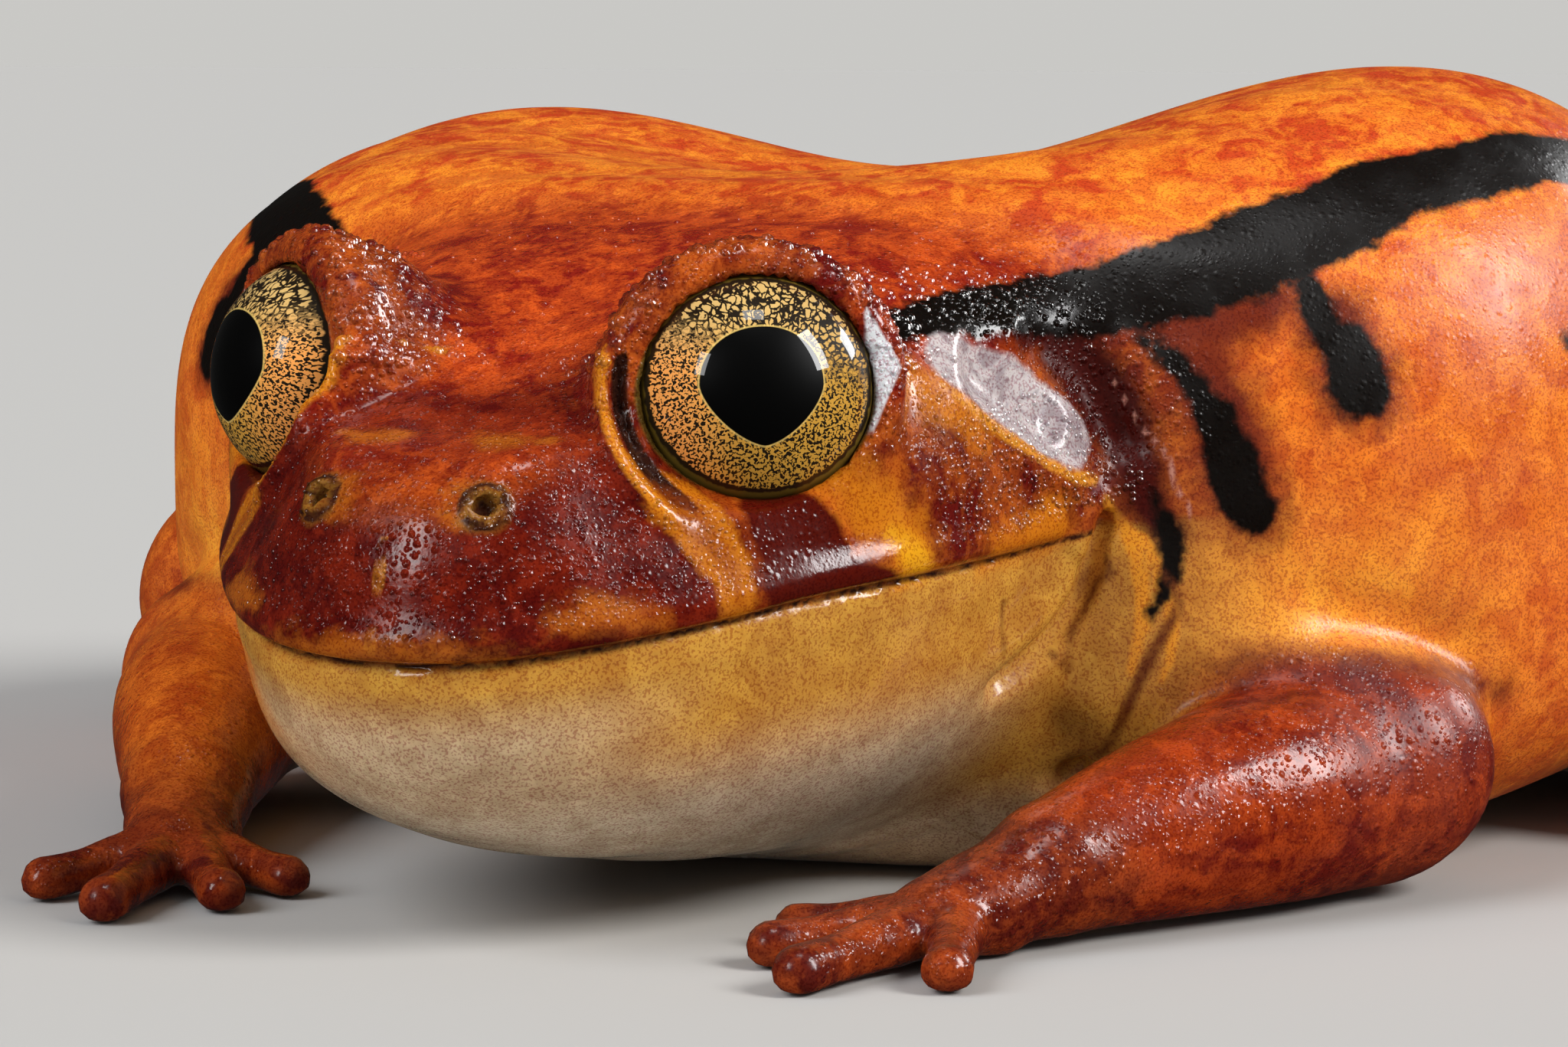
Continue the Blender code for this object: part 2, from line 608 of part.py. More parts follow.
def grown_body():
    """The trunk and the head grown by the gap, to cut the limbs clear of them."""
    return [to_object("grown_trunk", trunk_form(GAP)), to_object("grown_head", head_form(GAP))]


def on_side(points, side):
    return [(p[0] * side,) + tuple(p[1:]) for p in points]


def make_digits(hand, root, digits, side, lift):
    """Fuses the fingers or toes to a hand or foot."""
    made = []
    for heading, length, radius in digits:
        made.append(to_object("digit", digit(mirrored(root, side), side * heading, length, radius, lift)))
    return combine(hand, made, "UNION")


def make_arm(side, word, finishes):
    upper_path, fore_path, hand_path = on_side(UPPER_ARM, side), on_side(FOREARM, side), on_side(HAND, side)
    fore = to_object("forearm_" + word, tube(fore_path, 8, 14, "round flat"), finishes["arm"])
    combine(fore, grown_body(), "DIFFERENCE")
    grown_fore = to_object("grown_forearm", tube(fore_path, 8, 14, "round flat", GAP))
    upper = to_object("upper_arm_" + word, tube(upper_path, 6, 14, "flat round"), finishes["arm"])
    combine(upper, grown_body() + [grown_fore], "DIFFERENCE")
    hand = to_object("hand_" + word, tube(hand_path, 5, 12, "flat round"), finishes["hand"])
    make_digits(hand, FINGER_ROOT, FINGERS, side, 0.35)
    grown_fore = to_object("grown_forearm", tube(fore_path, 8, 14, "round flat", GAP))
    combine(hand, [grown_fore], "DIFFERENCE")
    return [upper, fore, hand]


def make_leg(side, word, finishes):
    thigh_path, shank_path, foot_path = on_side(THIGH, side), on_side(SHANK, side), on_side(FOOT, side)
    thigh = to_object("thigh_" + word, tube(thigh_path, 8, 16, "flat round"), finishes["leg"])
    combine(thigh, grown_body(), "DIFFERENCE")
    grown_thigh = to_object("grown_thigh", tube(thigh_path, 8, 16, "flat round", GAP))
    shank = to_object("shank_" + word, tube(shank_path, 8, 14, "round round"), finishes["leg"])
    combine(shank, grown_body() + [grown_thigh], "DIFFERENCE")
    foot = to_object("foot_" + word, tube(foot_path, 6, 12, "round round"), finishes["hand"])
    make_digits(foot, TOE_ROOT, TOES, side, 0.4)
    grown_thigh = to_object("grown_thigh", tube(thigh_path, 8, 16, "flat round", GAP))
    grown_shank = to_object("grown_shank", tube(shank_path, 8, 14, "round round", GAP))
    combine(foot, grown_body() + [grown_thigh, grown_shank], "DIFFERENCE")
    return [thigh, shank, foot]


def main():
    clear_scene()
    finishes = {
        "back": material("back_skin", RED, 0.35),
        "head": material("head_skin", RED, 0.35),
        "arm": material("arm_skin", ORANGE, 0.35),
        "leg": material("leg_skin", ORANGE, 0.35),
        "hand": material("foot_skin", MAROON, 0.4),
        "eye": material("eye_gold", GOLD, 0.05),
    }
    pieces = [make_head(finishes["head"])]
    pieces.append(to_object("torso", trunk_form(), finishes["back"]))
    for side, word in ((1, "left"), (-1, "right")):
        pieces.append(make_eye("eye_" + word, side, finishes["eye"]))
        pieces += make_arm(side, word, finishes)
        pieces += make_leg(side, word, finishes)
    frog = bpy.data.objects.new("frog", None)
    bpy.context.scene.collection.objects.link(frog)
    along = np.concatenate([[vert.co.y for vert in piece.data.vertices] for piece in pieces])
    frog.location = (0.0, -(along.min() + along.max()) / 2, 0.0)
    for piece in pieces:
        piece.parent = frog
        piece.data.shade_smooth()
        piece.data.set_sharp_from_angle(angle=math.radians(50))


main()
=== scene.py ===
"""The looks of a life-size tomato frog resting with its chin low.

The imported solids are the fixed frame. One wet skin stands for every node of flesh: it is the zero
level of a field of distances, meshed once on a grid that is fine at the head and coarser behind.
The eyes and the small warts are pieces of their own. Every place is in millimetres behind the tip
of the snout (Y), to the frog's left (X) and above the floor (Z), until a mesh is made.
"""

from __future__ import annotations

import logging
import math
from dataclasses import dataclass, field
from enum import Enum
from functools import cached_property
from typing import Callable, Iterable, Sequence

import bpy
import numpy as np
from mathutils import Matrix, Vector

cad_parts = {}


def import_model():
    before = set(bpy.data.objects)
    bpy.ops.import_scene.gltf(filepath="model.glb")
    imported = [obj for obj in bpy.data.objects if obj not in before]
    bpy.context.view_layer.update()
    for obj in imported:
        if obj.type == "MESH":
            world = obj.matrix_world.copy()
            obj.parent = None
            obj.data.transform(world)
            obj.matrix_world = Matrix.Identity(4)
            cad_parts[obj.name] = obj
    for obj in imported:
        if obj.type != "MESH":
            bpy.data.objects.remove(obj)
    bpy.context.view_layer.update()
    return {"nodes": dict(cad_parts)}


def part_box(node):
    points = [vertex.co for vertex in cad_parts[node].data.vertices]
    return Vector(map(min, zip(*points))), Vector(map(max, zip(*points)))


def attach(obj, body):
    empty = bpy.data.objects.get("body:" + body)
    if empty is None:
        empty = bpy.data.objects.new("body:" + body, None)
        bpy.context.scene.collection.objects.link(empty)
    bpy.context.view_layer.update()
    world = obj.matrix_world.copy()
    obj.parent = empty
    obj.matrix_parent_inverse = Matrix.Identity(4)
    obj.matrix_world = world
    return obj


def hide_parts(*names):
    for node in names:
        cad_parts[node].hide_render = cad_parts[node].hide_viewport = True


log = logging.getLogger("tomato_frog")

Array = np.ndarray
Point = tuple[float, float, float]
Colour = tuple[float, float, float]

MM = 0.001
RUMP = 85.0  # how far the tail end lies behind the snout
EYE_CENTRE: Point = (10.4, 10.8, 21.5)  # middle of the ring of lids
EYE_TURN, EYE_LIFT = 33.0, 8.0
GLOBE_RADIUS = 4.8
LID_OPENING = 4.4
OPENING = (4.24, 3.55, -0.2)  # half width, half height and middle of the gap between the lids
NOSTRIL: Point = (3.46, 2.24, 17.45)
GLINT_ROW = ((17.9, 26.7, 22.6), (19.8, 27.5, 20.8), (20.9, 28.0, 18.7), (21.2, 28.3, 16.8))
SEED = 7


def smooth_curve(x: Sequence[float], v: Sequence[float]) -> Callable[[Array], Array]:
    """A monotone cubic through values, run on straight past both ends.

    Args:
        x: rising places.
        v: the value at each place.

    Returns:
        A function of an array of places.
    """
    x, v = np.asarray(x, float), np.asarray(v, float)
    step, slope = np.diff(x), np.diff(v) / np.diff(x)
    tangent = np.r_[slope[0], np.zeros(len(x) - 2), slope[-1]]
    same_way = slope[:-1] * slope[1:] > 0
    before, after = 2 * step[1:] + step[:-1], step[1:] + 2 * step[:-1]
    first, second = np.where(same_way, slope[:-1], 1.0), np.where(same_way, slope[1:], 1.0)
    tangent[1:-1] = np.where(same_way, (before + after) / (before / first + after / second), 0.0)

    def at(place: Array) -> Array:
        inside = np.clip(place, x[0], x[-1])
        i = np.clip(np.searchsorted(x, inside) - 1, 0, len(step) - 1)
        t = (inside - x[i]) / step[i]
        rest = t * t * (3 - 2 * t)
        swing = step[i] * (tangent[i] * t * (1 - t) ** 2 - tangent[i + 1] * t * t * (1 - t))
        past = np.where(place < x[0], tangent[0], tangent[-1]) * (place - inside)
        return v[i] * (1 - rest) + v[i + 1] * rest + swing + past

    return at


def fade(value: Array, start: float, end: float) -> Array:
    """1 before start, 0 after end and an S-curve between them."""
    t = np.clip((value - start) / (end - start), 0.0, 1.0)
    return 1.0 - t * t * (3.0 - 2.0 * t)


def bell(distance: Array, width: float) -> Array:
    """A bell curve of a distance: exp of minus its square over the width's square."""
    return np.exp(-((distance / width) ** 2))


def join_soft(a: Array, b: Array, soft: float) -> Array:
    """The union of two distances, filleted: the lesser one, minus a quarter of the overlap squared."""
    overlap = np.maximum(soft - np.abs(a - b), 0.0) / soft
    return np.minimum(a, b) - overlap * overlap * soft * 0.25


def cut_soft(a: Array, b: Array, soft: float) -> Array:
    """Distance a with everything inside distance b taken away, its edge rounded."""
    return -join_soft(-a, b, soft)


def smooth_path(points: Sequence[Sequence[float]], steps: int) -> Array:
    """Catmull-Rom curve through the points, a few steps to each span.

    Args:
        points: landmarks, with any radii in further columns.
        steps: steps in each span.

    Returns:
        One row a step, the last landmark included.
    """
    p = np.asarray(points, float)
    p = np.concatenate([[2 * p[0] - p[1]], p, [2 * p[-1] - p[-2]]])
    at = np.linspace(0, len(p) - 3, steps * (len(p) - 3) + 1)
    i = np.clip(at.astype(int), 0, len(p) - 4)
    t = (at - i)[:, None]
    a, b, c, d = p[i], p[i + 1], p[i + 2], p[i + 3]
    return 0.5 * (2 * b + (c - a) * t + (2 * a - 5 * b + 4 * c - d) * t**2 + (3 * b - a - 3 * c + d) * t**3)


def run_distance(p: Array, run: Array) -> tuple[Array, Array]:
    """Distance of each point to a run of straight steps, and how far along the run, from 0 to 1.

    Args:
        p: points, (n, 3).
        run: the run's points, (m, 3) or more columns.

    Returns:
        The distance and the share of the run at the nearest place.
    """
    best, share = np.full(len(p), 1e9), np.zeros(len(p))
    for i, (a, b) in enumerate(zip(run[:-1, :3], run[1:, :3])):
        t = np.clip(((p - a) @ (b - a)) / ((b - a) @ (b - a)), 0.0, 1.0)
        gap = np.linalg.norm(p - a - t[:, None] * (b - a), axis=1)
        nearer = gap < best
        best = np.where(nearer, gap, best)
        share = np.where(nearer, (i + t) / (len(run) - 1), share)
    return best, share


def eye_axis() -> Array:
    """The direction in which the left eye looks."""
    turn, lift = math.radians(EYE_TURN), math.radians(EYE_LIFT)
    return np.array([math.sin(turn) * math.cos(lift), -math.cos(turn) * math.cos(lift), math.sin(lift)])


def globe_centre() -> Array:
    """The middle of the left eye's globe, behind its ring of lids."""
    return np.array(EYE_CENTRE) - math.sqrt(GLOBE_RADIUS**2 - LID_OPENING**2) * eye_axis()


def eye_frame() -> tuple[Array, Array, Array]:
    """The left eye's axis, the level direction towards its rear corner, and its upright."""
    out = eye_axis()
    level = np.cross([0.0, 0.0, 1.0], out)
    level /= np.linalg.norm(level)
    return out, level, np.cross(out, level)


@dataclass
class Profile:
    """A form along the body: at every place its section is a superellipse.

    The field is the section's size squared less the half width squared, over its own steepness.
    """

    stations: tuple[tuple[float, float, float, float, float], ...]
    above: tuple[tuple[float, float], ...]
    below: float
    trough: tuple[float, float] = (0.0, 1.0)
    trough_run: tuple[float, float, float, float] = (0.0, 1.0, 2.0, 3.0)

    @cached_property
    def curves(self) -> tuple[Callable[[Array], Array], ...]:
        """Half width squared, height of the widest line, and width over rise and over drop."""
        table = np.array(self.stations)
        y, wide, middle, rise, drop = table.T
        solid = wide > 0
        ratio = [np.interp(y, y[solid], wide[solid] / side[solid]) for side in (rise, drop)]
        return (
            smooth_curve(y, wide**2),
            smooth_curve(y, middle),
            smooth_curve(y, ratio[0]),
            smooth_curve(y, ratio[1]),
        )

    def middle(self, y: Array) -> Array:
        """Height of the widest line, level past both ends."""
        return self.curves[1](np.clip(y, self.stations[0][0], self.stations[-1][0]))

    def distance(self, p: Array) -> Array:
        """How far points lie outside the form, in mm; negative inside.

        Args:
            p: points, (n, 3).
        """
        x, y, z = np.abs(p[:, 0]), p[:, 1], p[:, 2]
        first, last = self.stations[0][0], self.stations[-1][0]
        held = np.clip(y, first, last)
        depth, half = self.trough
        start, full, fading, end = self.trough_run
        sink = depth * (1 - fade(y, start, full)) * fade(y, fading, end) * bell(x, half)
        lift = z - self.middle(y)
        lift = lift + sink * (1 - fade(lift, 0.0, 9.0))
        width2, _, rise_ratio, drop_ratio = self.curves
        above = lift >= 0
        ratio = np.where(above, rise_ratio(held), drop_ratio(held))
        places, powers = np.array(self.above).T
        power = np.where(above, np.interp(y, places, powers), self.below)
        b = np.abs(lift) * ratio
        size = np.maximum((x**power + b**power) ** (1 / power), 1e-4)
        steep_x = 2 * size * (x / size) ** (power - 1)
        steep_z = 2 * size * ratio * (b / size) ** (power - 1)
        steep_y = (width2(y + 0.05) - width2(y - 0.05)) / 0.1
        steep = np.sqrt(steep_x**2 + steep_y**2 + steep_z**2)
        return (size**2 - width2(y)) / np.maximum(steep, 1e-3)


@dataclass
class Limb:
    """A round limb, digit, brow or bead: spheres that roll along a path and change size on the way.

    Each landmark is X, Y, Z and a radius. The field is the distance to the path less the radius.
    """

    landmarks: tuple[tuple[float, float, float, float], ...]
    fillet: float
    steps: int = 4
    flat: float = 1.0

    @cached_property
    def path(self) -> Array:
        """The path's points with their radii."""
        return smooth_path(self.landmarks, self.steps)

    def reach(self) -> tuple[Array, Array]:
        """The box that the limb can change, its fillet included."""
        room = self.path[:, 3:4] + self.fillet + 0.6
        return (self.path[:, :3] - room).min(axis=0), (self.path[:, :3] + room).max(axis=0)

    def distance(self, p: Array) -> Array:
        """How far points lie outside the limb, in mm."""
        squash = np.array([1.0, 1.0, self.flat])
        path = self.path * np.array([1.0, 1.0, self.flat, 1.0])
        gap, share = run_distance(p * squash, path)
        return gap - np.interp(share, np.linspace(0, 1, len(path)), path[:, 3])


@dataclass
class Fold:
    """A ridge (height above 0) or sunk groove (below 0) along a run on the skin, bell-shaped across.

    The ends taper off over a share of the run.
    """

    run: tuple[Point, ...]
    width: float
    height: float
    taper: float = 0.18

    def lift(self, p: Array) -> Array:
        """How far the fold lifts the skin at points with X at or above 0."""
        path = smooth_path(self.run, 4)
        low, high = path.min(axis=0) - 3 * self.width, path.max(axis=0) + 3 * self.width
        near = np.all((p > low) & (p < high), axis=1)
        out = np.zeros(len(p))
        gap, share = run_distance(p[near], path)
        out[near] = bell(gap, self.width) * self.height
        if self.taper:
            out[near] *= 1 - fade(np.minimum(share, 1 - share) / self.taper, 0.0, 1.0)
        return out


@dataclass
class FrogForm:
    """The whole skin as one field of distances, the same on both sides of the middle plane."""

    head: Profile = field(
        default_factory=lambda: Profile(
            stations=(
                (0.0, 0.0, 11.6, 0.0, 0.0),
                (1.0, 4.5, 11.8, 5.0, 3.8),
                (3.0, 7.4, 12.2, 6.7, 5.9),
                (7.2, 11.0, 13.0, 7.9, 8.9),
                (10.5, 13.1, 13.6, 8.7, 10.6),
                (14.0, 14.9, 14.0, 9.9, 11.7),
                (17.5, 15.9, 14.2, 11.0, 12.6),
                (21.0, 16.6, 14.4, 11.8, 13.2),
                (25.5, 18.2, 15.2, 11.9, 14.5),
                (27.5, 18.6, 15.6, 11.7, 15.0),
                (31.0, 15.0, 16.0, 10.0, 13.0),
                (34.0, 0.0, 16.0, 0.0, 0.0),
            ),
            above=((8.0, 2.25), (18.0, 3.6)),
            below=2.2,
        )
    )
    trunk: Profile = field(
        default_factory=lambda: Profile(
            stations=(
                (23.4, 0.0, 13.6, 0.0, 0.0),
                (24.4, 13.2, 13.6, 9.2, 10.4),
                (26.0, 18.8, 13.8, 12.4, 12.8),
                (28.5, 23.8, 13.8, 14.7, 14.0),
                (32.0, 29.0, 13.7, 16.4, 14.5),
                (37.0, 33.2, 13.5, 18.8, 14.7),
                (43.0, 35.6, 13.2, 21.0, 14.6),
                (50.0, 36.1, 13.0, 22.2, 14.4),
                (56.0, 34.9, 12.8, 21.6, 14.2),
                (63.0, 31.9, 12.4, 18.4, 13.8),
                (70.0, 27.0, 11.8, 14.4, 12.8),
                (76.0, 20.6, 11.0, 10.6, 11.0),
                (81.0, 12.6, 10.0, 6.4, 8.0),
                (RUMP, 0.0, 9.0, 0.0, 0.0),
            ),
            above=((24.0, 3.2), (85.0, 3.2)),
            below=2.9,
            trough=(6.6, 18.0),
            trough_run=(26.0, 46.0, 58.0, 82.0),
        )
    )
    limbs: tuple[Limb, ...] = (
        Limb(((18.5, 31.5, 9.0, 5.5), (24.0, 32.2, 7.0, 5.15), (27.8, 32.6, 5.3, 4.65)), 1.4),
        Limb(
            (
                (27.0, 31.8, 4.8, 4.5), (24.9, 27.0, 4.5, 4.3), (22.3, 22.0, 3.8, 3.55),
                (19.9, 17.6, 2.9, 2.65),
            ),
            0.7,
        ),
        Limb(
            (
                (19.9, 17.6, 2.8, 2.55), (18.2, 14.6, 1.9, 2.45), (17.3, 12.8, 1.5, 2.15),
            ),
            1.0,
            flat=1.25,
        ),
        Limb(
            (
                (12.0, 71.0, 11.0, 8.8), (23.0, 67.0, 9.6, 9.1), (33.0, 59.5, 7.9, 7.7),
                (38.0, 52.5, 6.6, 6.1),
            ),
            1.0,
        ),
        Limb(
            (
                (39.2, 52.5, 6.0, 5.5), (39.8, 59.5, 5.7, 5.5), (36.6, 68.6, 4.9, 4.9),
                (32.4, 76.4, 3.8, 3.6),
            ),
            0.8,
        ),
        Limb(
            (
                (31.8, 78.8, 3.2, 3.1), (35.2, 77.8, 2.6, 2.8), (39.4, 75.0, 2.0, 2.5),
                (42.6, 72.4, 1.7, 2.3),
            ),
            0.8,
        ),
    )
    lean: float = 0.05
    finger_root: Point = (17.5, 13.8, 1.3)
    fingers: tuple[tuple[float, float, float], ...] = (
        (254.0, 7.4, 1.15),
        (224.0, 8.8, 1.2),
        (194.0, 10.8, 1.25),
        (160.0, 8.2, 1.2),
    )
    toe_root: Point = (42.0, 73.0, 1.4)
    toes: tuple[tuple[float, float, float], ...] = (
        (190.0, 6.4, 1.1),
        (168.0, 9.0, 1.15),
        (146.0, 11.6, 1.2),
        (124.0, 13.0, 1.25),
        (98.0, 8.6, 1.15),
    )
    head_folds: tuple[Fold, ...] = (
        Fold(((13.0, 15.2, 24.2), (15.4, 19.0, 24.3), (17.0, 22.6, 23.6), (18.4, 25.4, 22.2)), 1.2, 0.7),
        Fold(((3.6, 3.4, 18.8), (6.0, 5.6, 20.0), (8.0, 7.4, 21.4)), 1.3, 0.4, 0.0),
        Fold(((7.6, 5.0, 16.4), (9.6, 6.8, 17.0)), 2.0, -0.45, 0.0),
        Fold(((0.0, 7.0, 20.6), (0.0, 16.0, 24.8)), 3.2, -0.5, 0.0),
        Fold(((15.0, 19.1, 22.3), (16.3, 21.8, 20.7), (17.4, 24.1, 19.0)), 1.45, -0.8, 0.2),
        Fold(
            (
                (14.4, 17.6, 21.4), (15.2, 19.6, 20.0), (16.0, 21.0, 18.8),
                (17.1, 22.6, 17.6), (18.3, 25.4, 16.9),
            ),
            0.6,
            0.85,
            0.2,
        ),
        Fold(((14.6, 15.4, 17.8), (15.4, 17.8, 17.2), (16.4, 20.8, 16.6)), 2.2, 0.3, 0.0),
        Fold(((18.2, 25.5, 17.0), (18.0, 25.0, 15.4), (17.4, 24.2, 14.0)), 0.7, 0.5, 0.2),
    )
    neck_folds: tuple[Fold, ...] = (
        Fold(
            (
                (15.6, 22.4, 22.9), (17.2, 24.8, 21.8), (18.4, 26.4, 19.6),
                (19.2, 27.2, 17.0),
            ),
            1.2,
            -1.1,
            0.25,
        ),
        Fold(((18.0, 26.7, 21.2), (19.5, 27.2, 18.9), (20.7, 27.9, 16.5)), 0.34, 0.32, 0.2),
        Fold(
            (
                (17.8, 26.8, 23.0), (19.7, 27.6, 21.2), (20.9, 28.1, 18.9),
                (21.4, 28.5, 16.6),
            ),
            0.7,
            0.75,
            0.15,
        ),
        Fold(
            (
                (18.3, 26.0, 16.2), (17.9, 25.6, 14.2), (17.4, 25.2, 12.2),
                (16.4, 23.6, 10.3), (14.8, 21.0, 8.8),
            ),
            0.5,
            -1.35,
            0.12,
        ),
        Fold(((17.0, 23.6, 12.8), (16.2, 22.4, 11.2), (14.8, 20.0, 9.6)), 0.8, 0.3, 0.3),
        Fold(
            (
                (18.7, 26.5, 15.4), (19.2, 27.0, 12.6), (18.5, 26.6, 9.4),
                (16.8, 25.6, 6.8),
            ),
            1.1,
            0.95,
            0.2,
        ),
        Fold(
            (
                (20.6, 28.1, 16.0), (20.5, 28.1, 12.0), (19.4, 27.8, 8.8),
                (17.6, 27.2, 6.0), (15.2, 26.0, 4.0),
            ),
            0.6,
            -1.0,
            0.2,
        ),
        Fold(((21.5, 28.8, 14.6), (21.4, 28.8, 11.8), (20.4, 28.6, 8.6)), 1.1, 0.4, 0.3),
        Fold(((24.6, 29.0, 11.4), (28.4, 31.4, 10.6), (31.4, 36.0, 9.4)), 1.6, -0.7, 0.3),
        Fold(((30.0, 68.0, 18.0), (36.0, 58.0, 15.5), (37.0, 49.0, 12.0)), 3.0, -1.0),
    )

    @cached_property
    def digits(self) -> tuple[Limb, ...]:
        """Fingers and toes: knuckled tubes that lie on the floor and end in a round pad."""
        made = []
        for root, group, lift in ((self.finger_root, self.fingers, 0.35), (self.toe_root, self.toes, 0.4)):
            # Share of the way out, thickness against the digit's own, and rise above lying flat.
            knuckles = (
                (0.0, 1.1, 0.0),
                (0.28, 0.9, lift),
                (0.5, 0.93, lift * 0.8),
                (0.78, 0.76, 0.2),
                (1.0, 0.82, 0.0),
            )
            for heading, length, radius in group:
                turn = math.radians(heading)
                ahead = np.array([math.sin(turn), math.cos(turn), 0.0])
                start = np.array(root) - ahead * 1.2
                marks = []
                for share, size, rise in knuckles:
                    place = start + ahead * (1.2 + length - radius) * share
                    marks.append((place[0], place[1], radius * size * 0.8 + rise, radius * size))
                made.append(Limb(tuple(marks), 0.5))
        return tuple(made)

    @cached_property
    def lids(self) -> tuple[Limb, ...]:
        """The thick granular brow over the eye and the thin lid under it."""
        out, level, upright = eye_frame()
        made = []
        for radii, back, sizes, span in (
            ((5.0, 4.45), 0.7, (0.7, 1.1, 1.35, 1.25, 0.85), (-12.0, 192.0)),
            ((4.6, 4.3), 0.3, (0.4, 0.5, 0.55, 0.5, 0.4), (170.0, 370.0)),
        ):
            angle = np.radians(np.linspace(span[0], span[1], 11))
            ring = np.array(EYE_CENTRE) - out * back
            place = ring + radii[0] * np.cos(angle)[:, None] * level
            place = place + radii[1] * np.sin(angle)[:, None] * upright
            size = np.interp(np.linspace(0, 4, 11), np.arange(5), sizes)
            made.append(Limb(tuple(map(tuple, np.c_[place, size])), 0.5, steps=2))
        return tuple(made)

    def mouth(self, p: Array) -> Array:
        """Lips and the groove between them, by the height above the line where the jaws meet."""
        lift = p[:, 2] - self.head.middle(p[:, 1])
        lips = 0.3 * bell(lift - 0.9, 0.75) + 0.12 * bell(lift + 1.0, 0.8)
        groove = -0.6 * bell(lift, 0.22) * fade(p[:, 1], 20.0, 25.0)
        inset = -0.4 * fade(lift, -0.6, 0.1) * fade(-lift, 2.0, 7.0)
        return (lips + inset) * fade(p[:, 1], 22.0, 26.0) + groove

    def straight(self, points: Array) -> Array:
        """Points carried to the left half of an even frog: the roll of the back is undone, X made positive.

        The back rises by the lean times X, more and more from the shoulders back and towards the top.
        """
        x, y, z = points.T
        share = (1 - fade(y, 28.0, 44.0)) * (1 - fade(z, 12.0, 26.0))
        return np.stack([np.abs(x), y, z - self.lean * x * share], 1)

    def distance(self, points: Array) -> Array:
        """How far points lie outside the skin, in mm; negative inside.

        Args:
            points: places in the frog's own millimetres, (n, 3).
        """
        p = self.straight(points)
        d = np.full(len(p), 40.0)
        front, rear = p[:, 1] < 36.0, p[:, 1] > 20.0
        d[rear] = self.trunk.distance(p[rear])
        head = self.head.distance(p[front]) - self.mouth(p[front])
        for fold in self.head_folds:
            head -= fold.lift(p[front])
        d[front] = join_soft(d[front], head, 1.2)
        for fold in self.neck_folds:
            d -= fold.lift(p)
        d = self.with_eye(p, d, points[:, 0])
        for limb in self.limbs + self.digits:
            low, high = limb.reach()
            near = np.all((p > low) & (p < high), axis=1)
            d[near] = join_soft(d[near], limb.distance(p[near]), limb.fillet)
        d = self.with_nostril(p, d)
        return cut_soft(d, points[:, 2], 0.5)

    def with_eye(self, p: Array, d: Array, points_x: Array) -> Array:
        """Adds the dome round the globe, brow and lids, and opens the socket.

        Args:
            p: places on the even left half, in mm.
            d: the field there so far.
            points_x: the true X of the places; the right eye's front ridge stands higher.

        Returns:
            The field with the eye's surroundings.
        """
        near = np.linalg.norm(p - globe_centre(), axis=1) < 9.0
        q, e = p[near], d[near]
        out, level, upright = eye_frame()
        centre = globe_centre()
        ahead = (q - np.array(EYE_CENTRE)) @ out
        away = np.linalg.norm(q - np.array(EYE_CENTRE) - ahead[:, None] * out, axis=1)
        dome = np.linalg.norm(q - centre, axis=1) - (GLOBE_RADIUS + 0.7)
        e = join_soft(e, -join_soft(-dome, -ahead, 0.4), 1.6)
        for lid in self.lids:
            e = join_soft(e, lid.distance(q), lid.fillet)
        across, over = (q - np.array(EYE_CENTRE)) @ level, (q - np.array(EYE_CENTRE)) @ upright
        # A ridge and, inside it, a groove run round the front of the eye.
        angle = np.degrees(np.arctan2(over, across)) % 360.0
        front = fade(angle, 225.0, 250.0) * (1 - fade(angle, 158.0, 172.0)) * fade(np.abs(ahead), 2.0, 4.0)
        far = fade(points_x[near], -2.0, 2.0)
        ridge = (0.42 + 0.45 * far) * bell(away - 5.95, 0.45 + 0.2 * far)
        e = e + front * (0.4 * bell(away - 5.3, 0.26) - ridge)
        # The view out of the socket is a cone that widens from the gap between the lids.
        opening = (np.hypot(across / OPENING[0], (over - OPENING[2]) / OPENING[1]) - 1) * OPENING[1]
        cone = opening - np.maximum(ahead, 0.0) * 0.7
        e = np.maximum(e, -np.maximum(cone, -ahead - 0.2))
        e = cut_soft(e, np.linalg.norm(q - centre, axis=1) - (GLOBE_RADIUS + 0.02), 0.2)
        d = d.copy()
        d[near] = e
        return d

    def with_nostril(self, p: Array, d: Array) -> Array:
        """Raises a rim round the nostril and sinks its pit."""
        nose, out = np.array(NOSTRIL), np.array([0.62, -0.6, 0.5])
        out /= np.linalg.norm(out)
        away = p - nose
        along = away @ out
        gap = np.linalg.norm(away - along[:, None] * out, axis=1)
        near = np.abs(along) < 2.5
        rim = (0.22 * bell(gap - 0.7, 0.22) - 0.1 * bell(gap - 1.05, 0.22)) * near
        pit = np.hypot(gap, along * 1.6) - 0.52
        return cut_soft(d - rim, pit, 0.12)


def graded_axis(low: float, high: float, stops: Sequence[tuple[float, float]]) -> Array:
    """Grid lines from low to high whose spacing follows (place, spacing) stops."""
    places, spacing = np.array(stops).T
    lines = [low]
    while lines[-1] < high:
        lines.append(lines[-1] + float(np.interp(lines[-1], places, spacing)))
    return np.array(lines)


